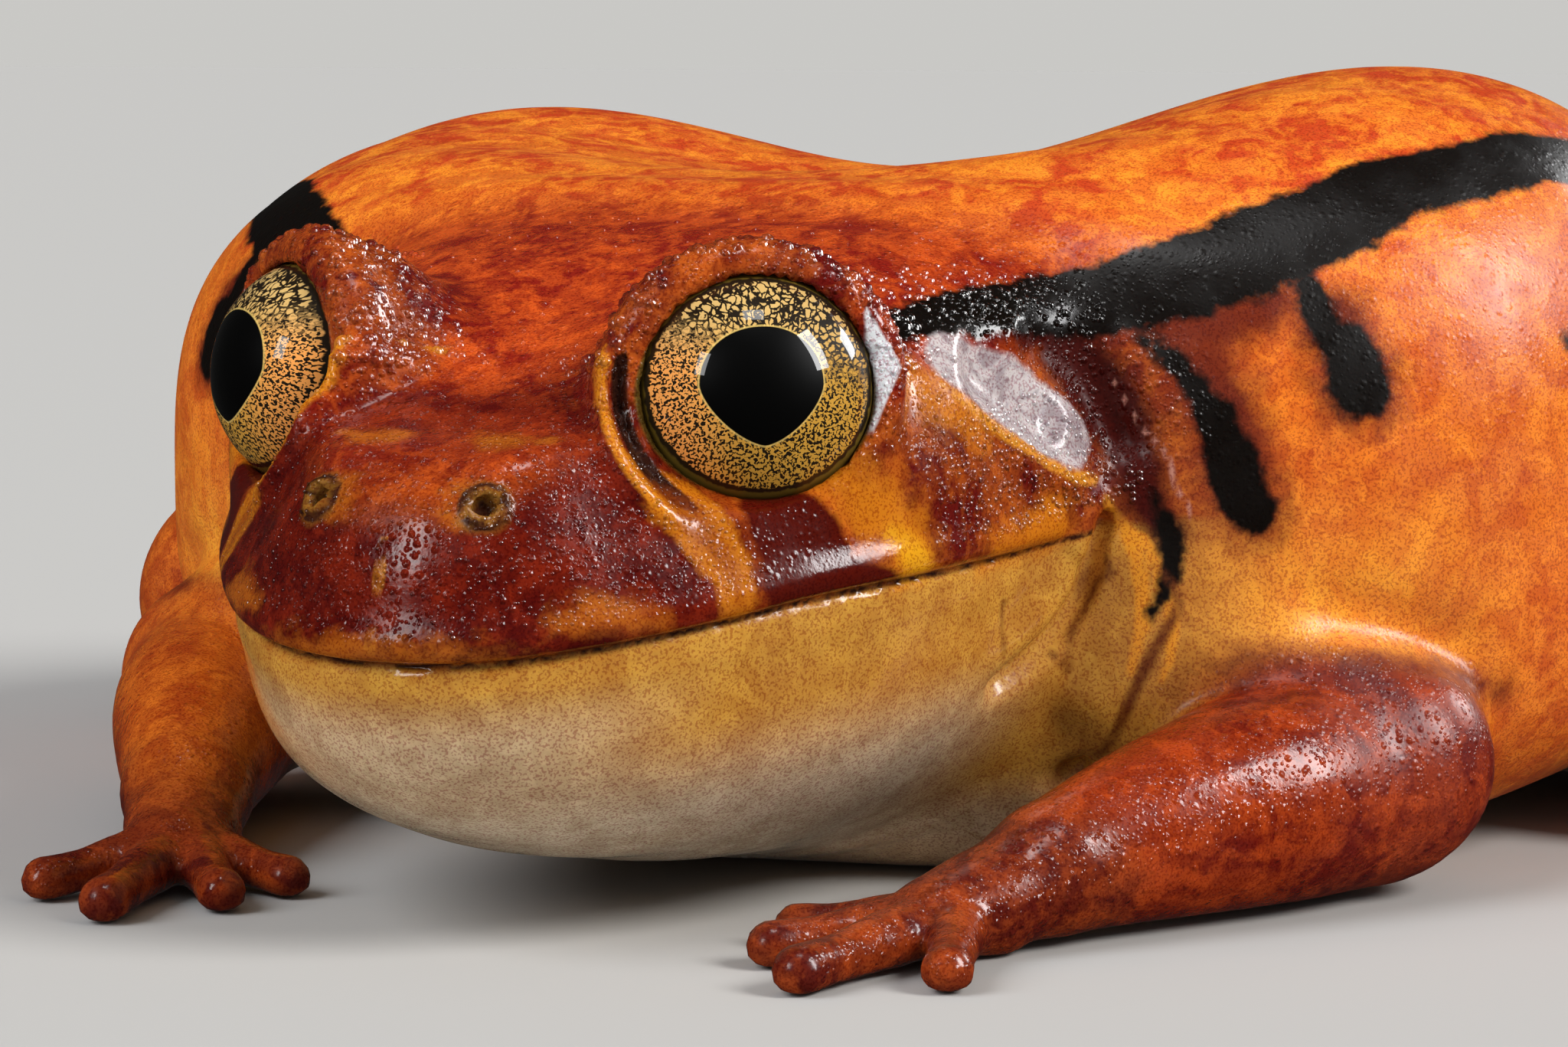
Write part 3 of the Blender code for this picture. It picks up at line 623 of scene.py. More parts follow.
@dataclass
class SkinNet:
    """Meshes the zero level of a field on a graded grid.

    Each cell that the skin crosses gets one point, at the mean of where its edges are crossed. The
    points are then evened out and carried onto the level by Newton's rule: the field over its slope.
    """

    form: FrogForm
    coarse: int = 4
    stops_x: tuple[tuple[float, float], ...] = ((0, 0.42), (8, 0.37), (18, 0.37), (26, 0.7), (56, 1.1))
    stops_y: tuple[tuple[float, float], ...] = ((0, 0.29), (26, 0.33), (34, 0.8), (60, 1.1), (90, 1.4))
    stops_z: tuple[tuple[float, float], ...] = (
        (0, 0.5),
        (9, 0.44),
        (11, 0.26),
        (16, 0.26),
        (18, 0.32),
        (28, 0.38),
        (34, 0.6),
    )

    def axes(self) -> tuple[Array, Array, Array]:
        """Grid lines, fine about the head and mouth."""
        half = graded_axis(0.0, 56.0, self.stops_x)
        y = graded_axis(-1.2, 90.0, self.stops_y)
        z = graded_axis(-0.9, 36.0, self.stops_z)
        return np.r_[-half[:0:-1], half], y, z

    def sample(self, axes: Sequence[Array]) -> Array:
        """The field on the grid; cells far from the skin keep the value of a coarse pass.

        Args:
            axes: the grid's lines along X, Y and Z.

        Returns:
            The distances, with one index for each axis.
        """
        n = self.coarse
        coarse_axes = [np.r_[a[::n], a[-1]] if (len(a) - 1) % n else a[::n] for a in axes]
        coarse = self.evaluate(coarse_axes)
        size = [len(a) for a in axes]
        which = [np.minimum((np.arange(s) + n // 2) // n, len(c) - 1) for s, c in zip(size, coarse_axes)]
        grid = coarse[np.ix_(*which)]
        near = np.abs(grid) < n * 0.9 + 1.6
        i, j, k = np.nonzero(near)
        p = np.stack([axes[0][i], axes[1][j], axes[2][k]], 1)
        grid[i, j, k] = self.form.distance(p)
        return grid

    def evaluate(self, axes: Sequence[Array]) -> Array:
        """The field at every crossing of some grid lines."""
        shape = tuple(len(a) for a in axes)
        p = np.stack(np.meshgrid(*axes, indexing="ij"), -1).reshape(-1, 3)
        return self.form.distance(p).reshape(shape)

    def points(self, axes: Sequence[Array], grid: Array) -> tuple[Array, Array]:
        """Places one point in each cell that the skin crosses.

        Args:
            axes: the grid's lines along X, Y and Z.
            grid: the field at the grid's crossings.

        Returns:
            The points, and for every cell its point's number or -1.
        """
        inside = grid < 0
        count = np.zeros([s - 1 for s in grid.shape], np.uint8)
        corners = [(a, b, c) for a in (0, 1) for b in (0, 1) for c in (0, 1)]
        for a, b, c in corners:
            count += inside[a : a + count.shape[0], b : b + count.shape[1], c : c + count.shape[2]]
        cell = np.stack(np.nonzero((count > 0) & (count < 8)), 1)
        index = np.full(count.shape, -1, np.int64)
        index[tuple(cell.T)] = np.arange(len(cell))
        total, hits = np.zeros((len(cell), 3)), np.zeros(len(cell))
        for one in corners:
            for axis in range(3):
                if one[axis]:
                    continue
                a, b = cell + one, cell + one
                b = b + np.eye(3, dtype=int)[axis]
                va, vb = grid[tuple(a.T)], grid[tuple(b.T)]
                crossed = (va < 0) != (vb < 0)
                t = np.where(crossed, va / np.where(crossed, va - vb, 1.0), 0.0)
                pa = np.stack([axes[n][a[:, n]] for n in range(3)], 1)
                pb = np.stack([axes[n][b[:, n]] for n in range(3)], 1)
                total += (pa + t[:, None] * (pb - pa)) * crossed[:, None]
                hits += crossed
        return total / np.maximum(hits, 1)[:, None], index

    def quads(self, grid: Array, index: Array) -> Array:
        """A quad round each crossed grid edge, facing out.

        Args:
            grid: the field at the grid's crossings.
            index: each cell's point number.

        Returns:
            Rows of four point numbers.
        """
        inside = grid < 0
        faces = []
        for axis in range(3):
            other = [n for n in range(3) if n != axis]
            low = [slice(1, -1)] * 3
            high = [slice(1, -1)] * 3
            low[axis], high[axis] = slice(0, -1), slice(1, None)
            one, two = inside[tuple(low)], inside[tuple(high)]
            at = np.stack(np.nonzero(one != two), 1)
            start = one[tuple(at.T)]
            at[:, other] += 1
            steps = []
            for du, dv in ((-1, -1), (0, -1), (0, 0), (-1, 0)):
                near = at.copy()
                near[:, other[0]] += du
                near[:, other[1]] += dv
                steps.append(index[tuple(near.T)])
            quad = np.stack(steps, 1)
            flip = start if axis != 1 else ~start
            quad[~flip] = quad[~flip][:, ::-1]
            faces.append(quad)
        faces = np.concatenate(faces)
        return faces[(faces >= 0).all(axis=1)]

    def slope(self, p: Array, step: float = 0.02) -> Array:
        """The field's slope by central differences."""
        parts = []
        for axis in range(3):
            shift = np.zeros(3)
            shift[axis] = step
            parts.append(self.form.distance(p + shift) - self.form.distance(p - shift))
        return np.stack(parts, 1) / (2 * step)

    def on_skin(self, p: Array) -> Array:
        """Carries points near the skin onto it, by Newton's rule."""
        for _ in range(4):
            slope = self.slope(p)
            p = p - self.form.distance(p)[:, None] * slope / np.maximum((slope**2).sum(1), 0.05)[:, None]
        return p

    def settle(self, p: Array, faces: Array) -> Array:
        """Evens the points out over the skin, then carries them onto the zero level.

        Args:
            p: points near the skin, in mm.
            faces: the quads that join them.

        Returns:
            The points on the skin.
        """
        ends = np.concatenate([faces[:, [0, 1]], faces[:, [1, 2]], faces[:, [2, 3]], faces[:, [3, 0]]])
        ends = np.concatenate([ends, ends[:, ::-1]])
        degree = np.maximum(np.bincount(ends[:, 0], minlength=len(p)), 1)
        for share in (0.5, 0.5, 0.0):
            if share:
                mean = np.stack([np.bincount(ends[:, 0], p[ends[:, 1], n], len(p)) for n in range(3)], 1)
                p = p + share * (mean / degree[:, None] - p)
            d = self.form.distance(p)
            slope = self.slope(p)
            move = d[:, None] * slope / np.maximum((slope**2).sum(1), 0.05)[:, None]
            length = np.linalg.norm(move, axis=1)
            p = p - move * np.minimum(1.0, 0.35 / np.maximum(length, 1e-9))[:, None]
        return p

    def build(self) -> tuple[Array, Array]:
        """The skin's points, in mm, and its quads."""
        axes = self.axes()
        grid = self.sample(axes)
        p, index = self.points(axes, grid)
        faces = self.quads(grid, index)
        return self.settle(p, faces), faces


def make_mesh(name: str, p: Array, faces: Array, shift: float) -> bpy.types.Object:
    """A smooth-shaded object at the origin from points in the frog's millimetres.

    Args:
        name: the object's name.
        p: points, (n, 3), in mm.
        faces: rows of three or four point numbers.
        shift: how far the row frame's origin lies behind the snout, in mm.
    """
    mesh = bpy.data.meshes.new(name)
    sides = faces.shape[1]
    mesh.vertices.add(len(p))
    mesh.vertices.foreach_set("co", ((p - [0.0, shift, 0.0]) * MM).astype(np.float32).ravel())
    mesh.loops.add(faces.size)
    mesh.loops.foreach_set("vertex_index", faces.astype(np.int32).ravel())
    mesh.polygons.add(len(faces))
    mesh.polygons.foreach_set("loop_start", np.arange(0, faces.size, sides, dtype=np.int32))
    mesh.update(calc_edges=True)
    mesh.validate()
    mesh.shade_smooth()
    obj = bpy.data.objects.new(name, mesh)
    bpy.context.scene.collection.objects.link(obj)
    return obj


def put_attribute(obj: bpy.types.Object, name: str, values: Array) -> None:
    """Stores one number, or one colour, a point under a name that the materials read."""
    if values.ndim == 1:
        made = obj.data.attributes.new(name, "FLOAT", "POINT")
        made.data.foreach_set("value", values.astype(np.float32))
        return
    made = obj.data.attributes.new(name, "FLOAT_COLOR", "POINT")
    rgba = np.concatenate([values, np.ones((len(values), 1))], axis=1)
    made.data.foreach_set("color", rgba.astype(np.float32).ravel())


@dataclass(frozen=True)
class Ground:
    """The light and the dark colour that marble one region of the skin."""

    light: Colour
    dark: Colour


class Region(Enum):
    """Regions of the skin by their ground colours, in linear light."""

    BACK = Ground((0.98, 0.30, 0.020), (0.60, 0.060, 0.009))
    CROWN = Ground((0.66, 0.095, 0.012), (0.25, 0.013, 0.006))
    SNOUT = Ground((0.20, 0.015, 0.004), (0.075, 0.003, 0.002))
    BROW = Ground((0.56, 0.080, 0.011), (0.17, 0.008, 0.005))
    CHEEK = Ground((0.46, 0.095, 0.010), (0.13, 0.006, 0.004))
    FLANK = Ground((0.94, 0.25, 0.017), (0.64, 0.105, 0.008))
    SHOULDER = Ground((1.0, 0.42, 0.032), (0.88, 0.27, 0.020))
    JAW = Ground((0.66, 0.34, 0.050), (0.50, 0.215, 0.031))
    THROAT = Ground((0.80, 0.66, 0.46), (0.60, 0.46, 0.30))
    BELLY = Ground((0.82, 0.56, 0.30), (0.70, 0.44, 0.22))
    LIMB = Ground((0.42, 0.055, 0.008), (0.15, 0.009, 0.004))
    FOOT = Ground((0.34, 0.055, 0.010), (0.10, 0.009, 0.005))


@dataclass
class Mark:
    """A crisp mark: a run on the skin, with its half width at each landmark.

    Its attribute is the half width less the distance to the run, so it is above 0 inside the mark.
    """

    landmarks: tuple[tuple[float, float, float, float], ...]

    @classmethod
    def along(cls, *landmarks: tuple[float, float, float, float]) -> Mark:
        """A mark through landmarks given one after another."""
        return cls(landmarks)

    def inside(self, p: Array, net: SkinNet) -> Array:
        """How far points of the even left half lie inside the mark, in mm.

        The run is first drawn onto the skin. Points far from it get -3.
        """
        path = smooth_path(self.landmarks, 4)
        path[:, :3] = net.form.straight(net.on_skin(path[:, :3]))
        room = path[:, 3].max() + 3.0
        low, high = path[:, :3].min(axis=0) - room, path[:, :3].max(axis=0) + room
        near = np.all((p > low) & (p < high), axis=1)
        gap, share = run_distance(p[near], path)
        out = np.full(len(p), -3.0)
        out[near] = np.maximum(np.interp(share, np.linspace(0, 1, len(path)), path[:, 3]) - gap, -3.0)
        return out


MARKS: dict[str, tuple[Mark, ...]] = {
    "band": (
        Mark.along(
            (12.6, 14.8, 24.0, 0.35),
            (13.2, 17.0, 24.1, 0.8),
            (13.6, 19.6, 24.0, 1.1),
            (14.8, 22.5, 24.0, 1.3),
            (16.4, 25.8, 24.1, 1.5),
            (18.2, 27.9, 24.1, 1.7),
            (20.5, 29.7, 24.7, 1.9),
            (22.3, 31.8, 25.3, 2.1),
            (24.6, 34.8, 26.2, 2.0),
            (26.0, 37.2, 27.1, 1.8),
            (28.2, 40.5, 27.6, 1.7),
            (31.0, 47.0, 27.8, 1.6),
            (33.0, 54.0, 25.5, 1.4),
            (32.5, 61.0, 22.5, 1.0),
            (29.5, 67.0, 19.5, 0.6),
        ),
        Mark.along(
            (19.2, 27.4, 22.4, 0.5), (20.6, 28.0, 20.6, 0.55), (21.6, 28.4, 19.0, 0.85),
            (22.6, 28.9, 17.2, 1.15), (23.3, 29.3, 15.7, 0.95),
        ),
        Mark.along(
            (20.1, 26.6, 16.7, 0.2), (20.9, 26.9, 14.5, 0.5), (20.8, 26.7, 12.8, 0.45),
            (20.3, 26.3, 11.8, 0.2),
        ),
        Mark.along(
            (24.5, 32.0, 24.2, 0.7), (25.2, 31.9, 22.7, 0.8), (26.1, 32.2, 21.2, 1.3),
            (26.3, 32.3, 20.3, 1.3),
        ),
        Mark.along((31.5, 40.0, 22.0, 0.3), (32.0, 41.0, 20.6, 0.6)),
        Mark.along((34.0, 51.0, 20.5, 0.7), (34.4, 53.0, 18.6, 0.8)),
        Mark.along((31.5, 60.0, 17.5, 0.6), (31.0, 62.5, 16.6, 0.7)),
    ),
    "shade": (
        Mark.along(
            (17.5, 26.6, 23.4, 1.0), (20.0, 28.4, 22.8, 1.5), (22.6, 30.2, 23.2, 1.2),
            (24.6, 32.0, 24.2, 0.6),
        ),
        Mark.along((20.4, 28.2, 20.6, 1.6), (22.4, 28.9, 17.6, 1.7), (23.4, 29.4, 15.6, 1.2)),
        Mark.along((25.3, 32.0, 22.8, 1.6), (26.3, 32.3, 20.4, 1.8)),
        Mark.along((27.4, 30.2, 9.4, 0.2), (29.6, 31.8, 9.2, 0.7), (31.8, 36.0, 8.0, 0.4)),
    ),
    "stripe": (
        Mark.along(
            (7.0, 6.6, 18.8, 0.35),
            (7.8, 6.8, 18.0, 0.85),
            (8.9, 7.2, 17.1, 1.25),
            (10.0, 7.5, 16.1, 1.15),
            (10.7, 7.6, 15.0, 0.95),
            (11.0, 7.6, 13.9, 0.8),
            (10.8, 7.6, 12.7, 0.6),
        ),
    ),
    "patch": (
        Mark.along(
            (11.6, 9.6, 17.4, 1.3), (12.4, 10.0, 15.8, 1.9), (12.9, 11.0, 13.8, 2.2),
            (14.4, 14.4, 13.6, 0.7),
        ),
    ),
    "glow": (
        Mark.along((18.9, 25.7, 14.1, 0.7), (19.1, 25.8, 12.1, 0.8), (18.7, 25.6, 10.1, 0.5)),
        Mark.along((12.9, 11.6, 17.9, 0.8), (14.1, 13.0, 17.0, 1.2), (14.9, 14.4, 15.2, 1.2)),
        Mark.along((13.2, 14.4, 21.6, 0.9), (14.3, 17.0, 20.8, 1.1), (15.0, 19.0, 19.8, 0.6)),
        Mark.along((17.3, 23.0, 15.6, 0.8), (16.0, 19.8, 14.9, 0.8)),
    ),
    "ember": (
        Mark.along((1.6, 5.4, 19.7, 0.3), (3.2, 5.0, 19.4, 0.5), (4.4, 5.4, 19.4, 0.2)),
        Mark.along((5.8, 2.8, 13.2, 0.2), (7.8, 3.8, 13.5, 0.7), (9.2, 5.0, 13.2, 0.3)),
        Mark.along((0.4, 0.6, 12.3, 0.5), (2.6, 1.0, 12.3, 0.6), (5.4, 2.4, 12.4, 0.4)),
        Mark.along((2.6, 2.0, 18.3, 0.4), (2.3, 1.6, 17.2, 0.4)),
    ),
    "amber": (
        Mark.along((14.4, 13.6, 15.8, 0.3), (14.9, 14.5, 14.9, 0.7), (15.2, 15.2, 14.2, 0.5)),
    ),
    # The tympanum: its own darker grey with a painted glare in pale grey over it.
    "drum_glare": (Mark.along((14.9, 18.8, 22.3, 1.2), (16.1, 21.6, 20.7, 1.7), (17.4, 24.1, 18.9, 1.4)),),
    "gold": (
        Mark.along(
            (18.6, 25.4, 16.3, 0.15), (19.6, 26.1, 14.2, 0.3), (20.0, 26.1, 11.8, 0.3),
            (19.6, 25.8, 9.3, 0.15),
        ),
        Mark.along(
            (14.6, 18.0, 21.0, 0.15), (15.2, 19.5, 20.0, 0.26), (16.0, 21.0, 18.8, 0.34),
            (17.2, 22.8, 17.6, 0.34), (18.2, 25.2, 17.0, 0.2),
        ),
        Mark.along(
            (18.6, 26.4, 15.6, 0.05), (19.3, 27.0, 14.0, 0.22), (19.6, 27.3, 12.4, 0.3),
            (19.4, 27.4, 10.6, 0.2), (18.9, 27.3, 9.4, 0.05),
        ),
        Mark.along(
            (0.0, 1.6, 16.8, -0.1), (0.2, 0.7, 15.0, -0.03), (0.0, 0.4, 13.6, 0.0),
            (0.1, 0.3, 12.3, 0.05),
        ),
    ),
    # Painted shade: dark red laid in the groove behind the tympanum, where shade falls.
    "furrow_shade": (
        Mark.along(
            (14.6, 21.6, 22.9, 0.4),
            (16.4, 23.9, 22.7, 0.9),
            (17.6, 25.3, 21.6, 1.4),
            (18.5, 26.4, 19.6, 1.6),
            (19.3, 27.2, 17.2, 1.2),
            (19.9, 27.6, 14.8, 0.7),
        ),
    ),
    # Painted shade: thin dark lines along the two grooves behind the jaw corner.
    "crease_shade": (
        Mark.along(
            (18.4, 26.0, 16.4, 0.02), (17.9, 25.6, 14.2, 0.14), (17.4, 25.2, 12.2, 0.16),
            (16.4, 23.6, 10.3, 0.12), (14.8, 21.0, 8.8, 0.0),
        ),
        Mark.along(
            (20.5, 28.1, 13.0, 0.05), (20.3, 28.0, 11.4, 0.2), (19.4, 27.8, 8.8, 0.24),
            (17.6, 27.2, 6.0, 0.1),
        ),
    ),
    # Painted highlight: a thin pink line along the ridge of the fold behind the tympanum.
    "fold_highlight": (
        Mark.along(
            (18.3, 26.6, 21.2, 0.05), (19.6, 27.3, 18.8, 0.12), (20.8, 28.0, 16.4, 0.12),
            (21.2, 28.3, 15.4, 0.05),
        ),
    ),
}

# These stop at the line where the jaws meet.
UPPER_JAW_MARKS = ("patch", "stripe", "amber", "glow", "ember")


@dataclass
class Markings:
    """Works out, for points on the skin, the ground colours and how far inside each mark they lie."""

    net: SkinNet

    def regions(self, p: Array) -> list[tuple[Region, Array]]:
        """Each region's weight at every point, painted in this order over the one before."""
        x, y, z = p.T
        lift = z - self.net.form.head.middle(y)
        on_head = fade(y, 25.0, 30.0)
        limb, foot = self.limb_weights(p)
        band_height = np.interp(y, (15, 20, 32, 47, 55, 69, 85), (24, 24, 25.4, 27.6, 25.0, 18.0, 9.0))
        above = 1 - fade(z - band_height, -0.7, 0.7)
        shoulder = (1 - fade(y, 25.5, 27.5)) * fade(z, 10.0, 19.0) * fade(y, 30.0, 38.0)
        low = fade(z, 1.2, 4.5) * fade(x, 24.0, 31.0)
        round_eye = fade(np.linalg.norm(p - globe_centre(), axis=1), 6.0, 7.6)
        front_brow = round_eye * fade(y - 0.8 * (z - 22.0), 9.5, 11.5) * (1 - fade(z, 19.0, 21.0))
        return [
            (Region.FLANK, np.ones(len(p))),
            (Region.BACK, above * (1 - on_head)),
            (Region.SHOULDER, shoulder),
            (Region.CROWN, on_head * (1 - fade(lift, 4.0, 7.5))),
            (Region.CHEEK, on_head * fade(lift, 6.2, 8.2) * (1 - fade(y, 9.5, 13.0))),
            (Region.SNOUT, fade(y, 7.5, 11.0) * fade(z - 0.55 * y, 15.8, 18.4)),
            (Region.BROW, round_eye * (1 - fade(z, 20.0, 22.5))),
            (Region.CHEEK, 0.8 * front_brow),
            (Region.JAW, on_head * fade(lift, -0.25, 0.15)),
            (Region.THROAT, fade(y, 18.0, 25.0) * fade(lift, -8.4, -3.4)),
            (Region.THROAT, fade(y, 26.0, 32.0) * fade(z, 1.5, 5.5)),
            (Region.THROAT, 0.7 * fade(y, 1.0, 8.0) * fade(lift, -3.6, -0.8)),
            (Region.BELLY, low * (1 - fade(y, 20.0, 30.0))),
            (Region.LIMB, limb),
            (Region.FOOT, foot),
            (Region.SNOUT, 0.8 * limb * (1 - fade(z, 7.0, 11.0)) * fade(y, 32.0, 38.0)),
        ]

    def limb_weights(self, p: Array) -> tuple[Array, Array]:
        """How much each point belongs to a leg or arm, and to a hand or foot."""
        form = self.net.form
        body = np.minimum(form.trunk.distance(p), form.head.distance(p))
        limb = np.minimum.reduce([limb.distance(p) for limb in form.limbs])
        feet = (form.limbs[2], form.limbs[5], *form.digits)
        foot = np.minimum.reduce([part.distance(p) for part in feet])
        return fade(limb - body, -1.6, -0.3), fade(foot, 0.2, 1.6)

    def values(self, p: Array) -> dict[str, Array]:
        """Every attribute's values at points given in mm, by name."""
        q = self.net.form.straight(p)
        light, dark = np.zeros((len(p), 3)), np.zeros((len(p), 3))
        for region, weight in self.regions(q):
            light += weight[:, None] * (np.array(region.value.light) - light)
            dark += weight[:, None] * (np.array(region.value.dark) - dark)
        # The right arm and leg are more orange than the left ones.
        limb = self.limb_weights(q)[0]
        far = 0.6 * limb * (p[:, 0] < 0) * (1 - fade(p[:, 2], 2.0, 6.0))
        light += far[:, None] * (np.array(Region.FLANK.value.light) - light)
        dark += far[:, None] * (np.array(Region.FLANK.value.dark) - dark)
        made = {"ground_light": light, "ground_dark": dark}
        lift = q[:, 2] - self.net.form.head.middle(q[:, 1])
        for name, marks in MARKS.items():
            inside = np.maximum.reduce([mark.inside(q, self.net) for mark in marks])
            made[name] = np.minimum(inside, lift - 0.05) if name in UPPER_JAW_MARKS else inside
        made |= self.details(q)
        arm = 0.45 * limb * (q[:, 1] < 40)
        made["wart"] = np.where(made["drum_glare"] > 0, 0.05, np.maximum(made["wart"], arm))
        return made

    def details(self, q: Array) -> dict[str, Array]:
        """Marks that follow the eye and the mouth, and how warty the skin is.

        Args:
            q: points of the even left half, in mm.

        Returns:
            The values by attribute name.
        """
        y, z = q[:, 1], q[:, 2]
        out, level, upright = eye_frame()
        from_eye = q - np.array(EYE_CENTRE)
        ahead, across, over = from_eye @ out, from_eye @ level, from_eye @ upright
        away = np.hypot(across, over)
        angle = np.degrees(np.arctan2(over, across)) % 360.0
        front = fade(angle, 232.0, 252.0) * (1 - fade(angle, 158.0, 170.0))
        near_eye = np.abs(ahead) < 4.5
        lift = z - self.net.form.head.middle(y)
        rim = np.where(near_eye, 0.36 * front - 0.14 - np.abs(away - 5.92), -9.0)
        # Painted shade: the groove between the lid and the rim in front of the eye, laid nearly black.
        slit_shade = np.where(near_eye, 0.42 * front - 0.12 - np.abs(away - 5.24), -9.0)
        steep = np.where(over > 0.8, 0.62, 0.48)
        membrane = np.minimum(across - 4.1, 5.5 - across - steep * np.abs(over - 0.8))
        membrane = np.where(near_eye, membrane, -9.0)
        opening = (np.hypot(across / OPENING[0], (over - OPENING[2]) / OPENING[1]) - 1) * OPENING[1]
        lid = np.where(near_eye, 0.28 - 0.1 * np.cos(np.radians(angle - 30.0)) - opening, -9.0)
        lip = np.where(y < 25.0, 0.11 - np.abs(lift), -9.0)
        snout = fade(y, 10.0, 22.0) * (1 - fade(lift, 0.3, 2.0))
        brow = fade(np.linalg.norm(from_eye, axis=1), 5.6, 8.5) * (1 - fade(z, 19.0, 22.0))
        cheek = (1 - fade(y, 14.0, 18.0)) * fade(y, 25.0, 28.0)
        cheek = cheek * (1 - fade(lift, 0.5, 1.6)) * fade(lift, 6.0, 8.0)
        jaw = (lift < 0) & (y < 27)
        smooth = fade(np.abs(y - 12.0), 2.5, 5.0) * fade(lift, 4.0, 6.0)
        nape = (1 - fade(y, 18.0, 22.0)) * fade(y, 26.0, 29.0) * (1 - fade(z, 17.0, 20.0))
        total = 0.12 + 0.55 * snout + 0.7 * brow + 0.9 * cheek + 0.5 * nape - 0.5 * smooth - 0.7 * jaw
        made = {"rim": rim, "slit_shade": slit_shade, "membrane": membrane, "lid": lid, "lip": lip}
        made["wart"] = np.clip(total, 0.04, 1.1)
        hole = np.linalg.norm(q - np.array(NOSTRIL), axis=1)
        made |= {"nostril": 1.0 - hole, "pit": np.maximum(0.46 - hole, 0.1 - np.abs(hole - 0.92))}
        made["dull"] = 1 - fade(y, 22.0, 29.0)
        return {name: np.maximum(values, -3.0) for name, values in made.items()}


@dataclass
class Warts:
    """Low round warts in the skin's own colours, thick on brows, cheeks and the snout's ridges.

    Each is a dome of two rings and a peak: its radius falls with the cosine of the way up, and its
    height rises with the sine.
    """

    skin: Array
    normals: Array
    sides: int = 6

    def sites(self, q: Array, rng: np.random.Generator) -> tuple[Array, Array]:
        """Chooses points of the skin, at most one in each small cube, and their radii in mm.

        Args:
            q: the skin's points on the even left half.
            rng: seeded random numbers.

        Returns:
            Point numbers and radii.
        """
        x, y, z = q.T
        from_eye = q - np.array(EYE_CENTRE)
        out, level, upright = eye_frame()
        away = np.hypot(from_eye @ level, from_eye @ upright)
        head = z - np.interp(y, (0, 10, 28), (11.6, 13.6, 15.6))
        brow = fade(np.abs(away - 6.0), 0.3, 2.4) * (from_eye @ upright > 0.8)
        brow = brow * (np.abs(from_eye @ out) < 5.0)
        ridge = fade(np.abs(z - 24.6), 0.3, 1.2) * (y > 15) * (y < 26) * (x > 10)
        cheek = (head > 0.8) * (head < 5.5) * (y > 15.5) * (y < 26.5) * (x > 12)
        cheek = cheek * (1 - 0.8 * fade(y, 16.0, 21.0))
        snout = (head > 1.2) * (y < 8.5) * (z < 20.5)
        crown = (y > 6) * (y < 26) * (z > 19)
        row = run_distance(q, smooth_path(GLINT_ROW, 4))[0]
        behind = fade(row, 0.3, 0.9)
        chosen, sizes = [], []
        for weight, cell, chance, size in (
            (brow, 0.7, 0.9, 0.25),
            (ridge, 0.5, 0.8, 0.17),
            (cheek, 0.44, 0.85, 0.14),
            (snout, 0.5, 0.6, 0.09),
            (crown, 1.2, 0.4, 0.12),
            (behind, 0.5, 0.85, 0.16),
        ):
            keep = np.nonzero(rng.random(len(q)) < weight)[0]
            keep = rng.permutation(keep)
            cube = np.floor(self.skin[keep] / cell).astype(np.int64) @ np.array([1, 4001, 16008001])
            _, first = np.unique(cube, return_index=True)
            keep = keep[first]
            keep = keep[rng.random(len(keep)) < chance]
            chosen.append(keep)
            sizes.append(size * rng.uniform(0.65, 1.25, len(keep)))
        chosen, sizes = np.concatenate(chosen), np.concatenate(sizes)
        clear = away[chosen] > LID_OPENING + 0.75
        return chosen[clear], sizes[clear]

    def build(self, markings: Markings, shift: float, finish: bpy.types.Material) -> bpy.types.Object:
        """Makes all warts as one piece.

        Args:
            markings: gives the warts the colours of the skin under them.
            shift: how far the row frame's origin lies behind the snout, in mm.
            finish: the skin's material.

        Returns:
            The object.
        """
        rng = np.random.default_rng(SEED)
        index, radius = self.sites(markings.net.form.straight(self.skin), rng)
        place, up = self.skin[index], self.normals[index]
        side = np.cross(up, [0.31, 0.87, 0.38])
        side /= np.linalg.norm(side, axis=1)[:, None]
        other = np.cross(up, side)
        turn = np.linspace(0, 2 * math.pi, self.sides, endpoint=False)
        ring = np.cos(turn)[None, :, None] * side[:, None] + np.sin(turn)[None, :, None] * other[:, None]
        rows = []
        for wide, tall in ((1.2, -0.3), (0.72, 0.34)):
            rows.append(place[:, None] + radius[:, None, None] * (ring * wide + up[:, None] * tall))
        peak = place[:, None] + radius[:, None, None] * up[:, None] * 0.6
        p = np.concatenate(rows + [peak], axis=1)
        n = self.sides
        low, next_low = np.arange(n), (np.arange(n) + 1) % n
        one = np.stack([low, next_low, next_low + n], -1)
        two = np.stack([low, next_low + n, low + n], -1)
        cap = np.stack([low + n, next_low + n, np.full(n, 2 * n)], -1)
        base = np.concatenate([one, two, cap])
        faces = (base[None] + (np.arange(len(index)) * (2 * n + 1))[:, None, None]).reshape(-1, 3)
        obj = make_mesh("warts", p.reshape(-1, 3), faces, shift)
        made = markings.values(place)
        made["bead"] = np.ones(len(index))
        for name, values in made.items():
            put_attribute(obj, name, np.repeat(values, 2 * n + 1, axis=0))
        obj.data.materials.append(finish)
        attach(obj, "root")
        return obj


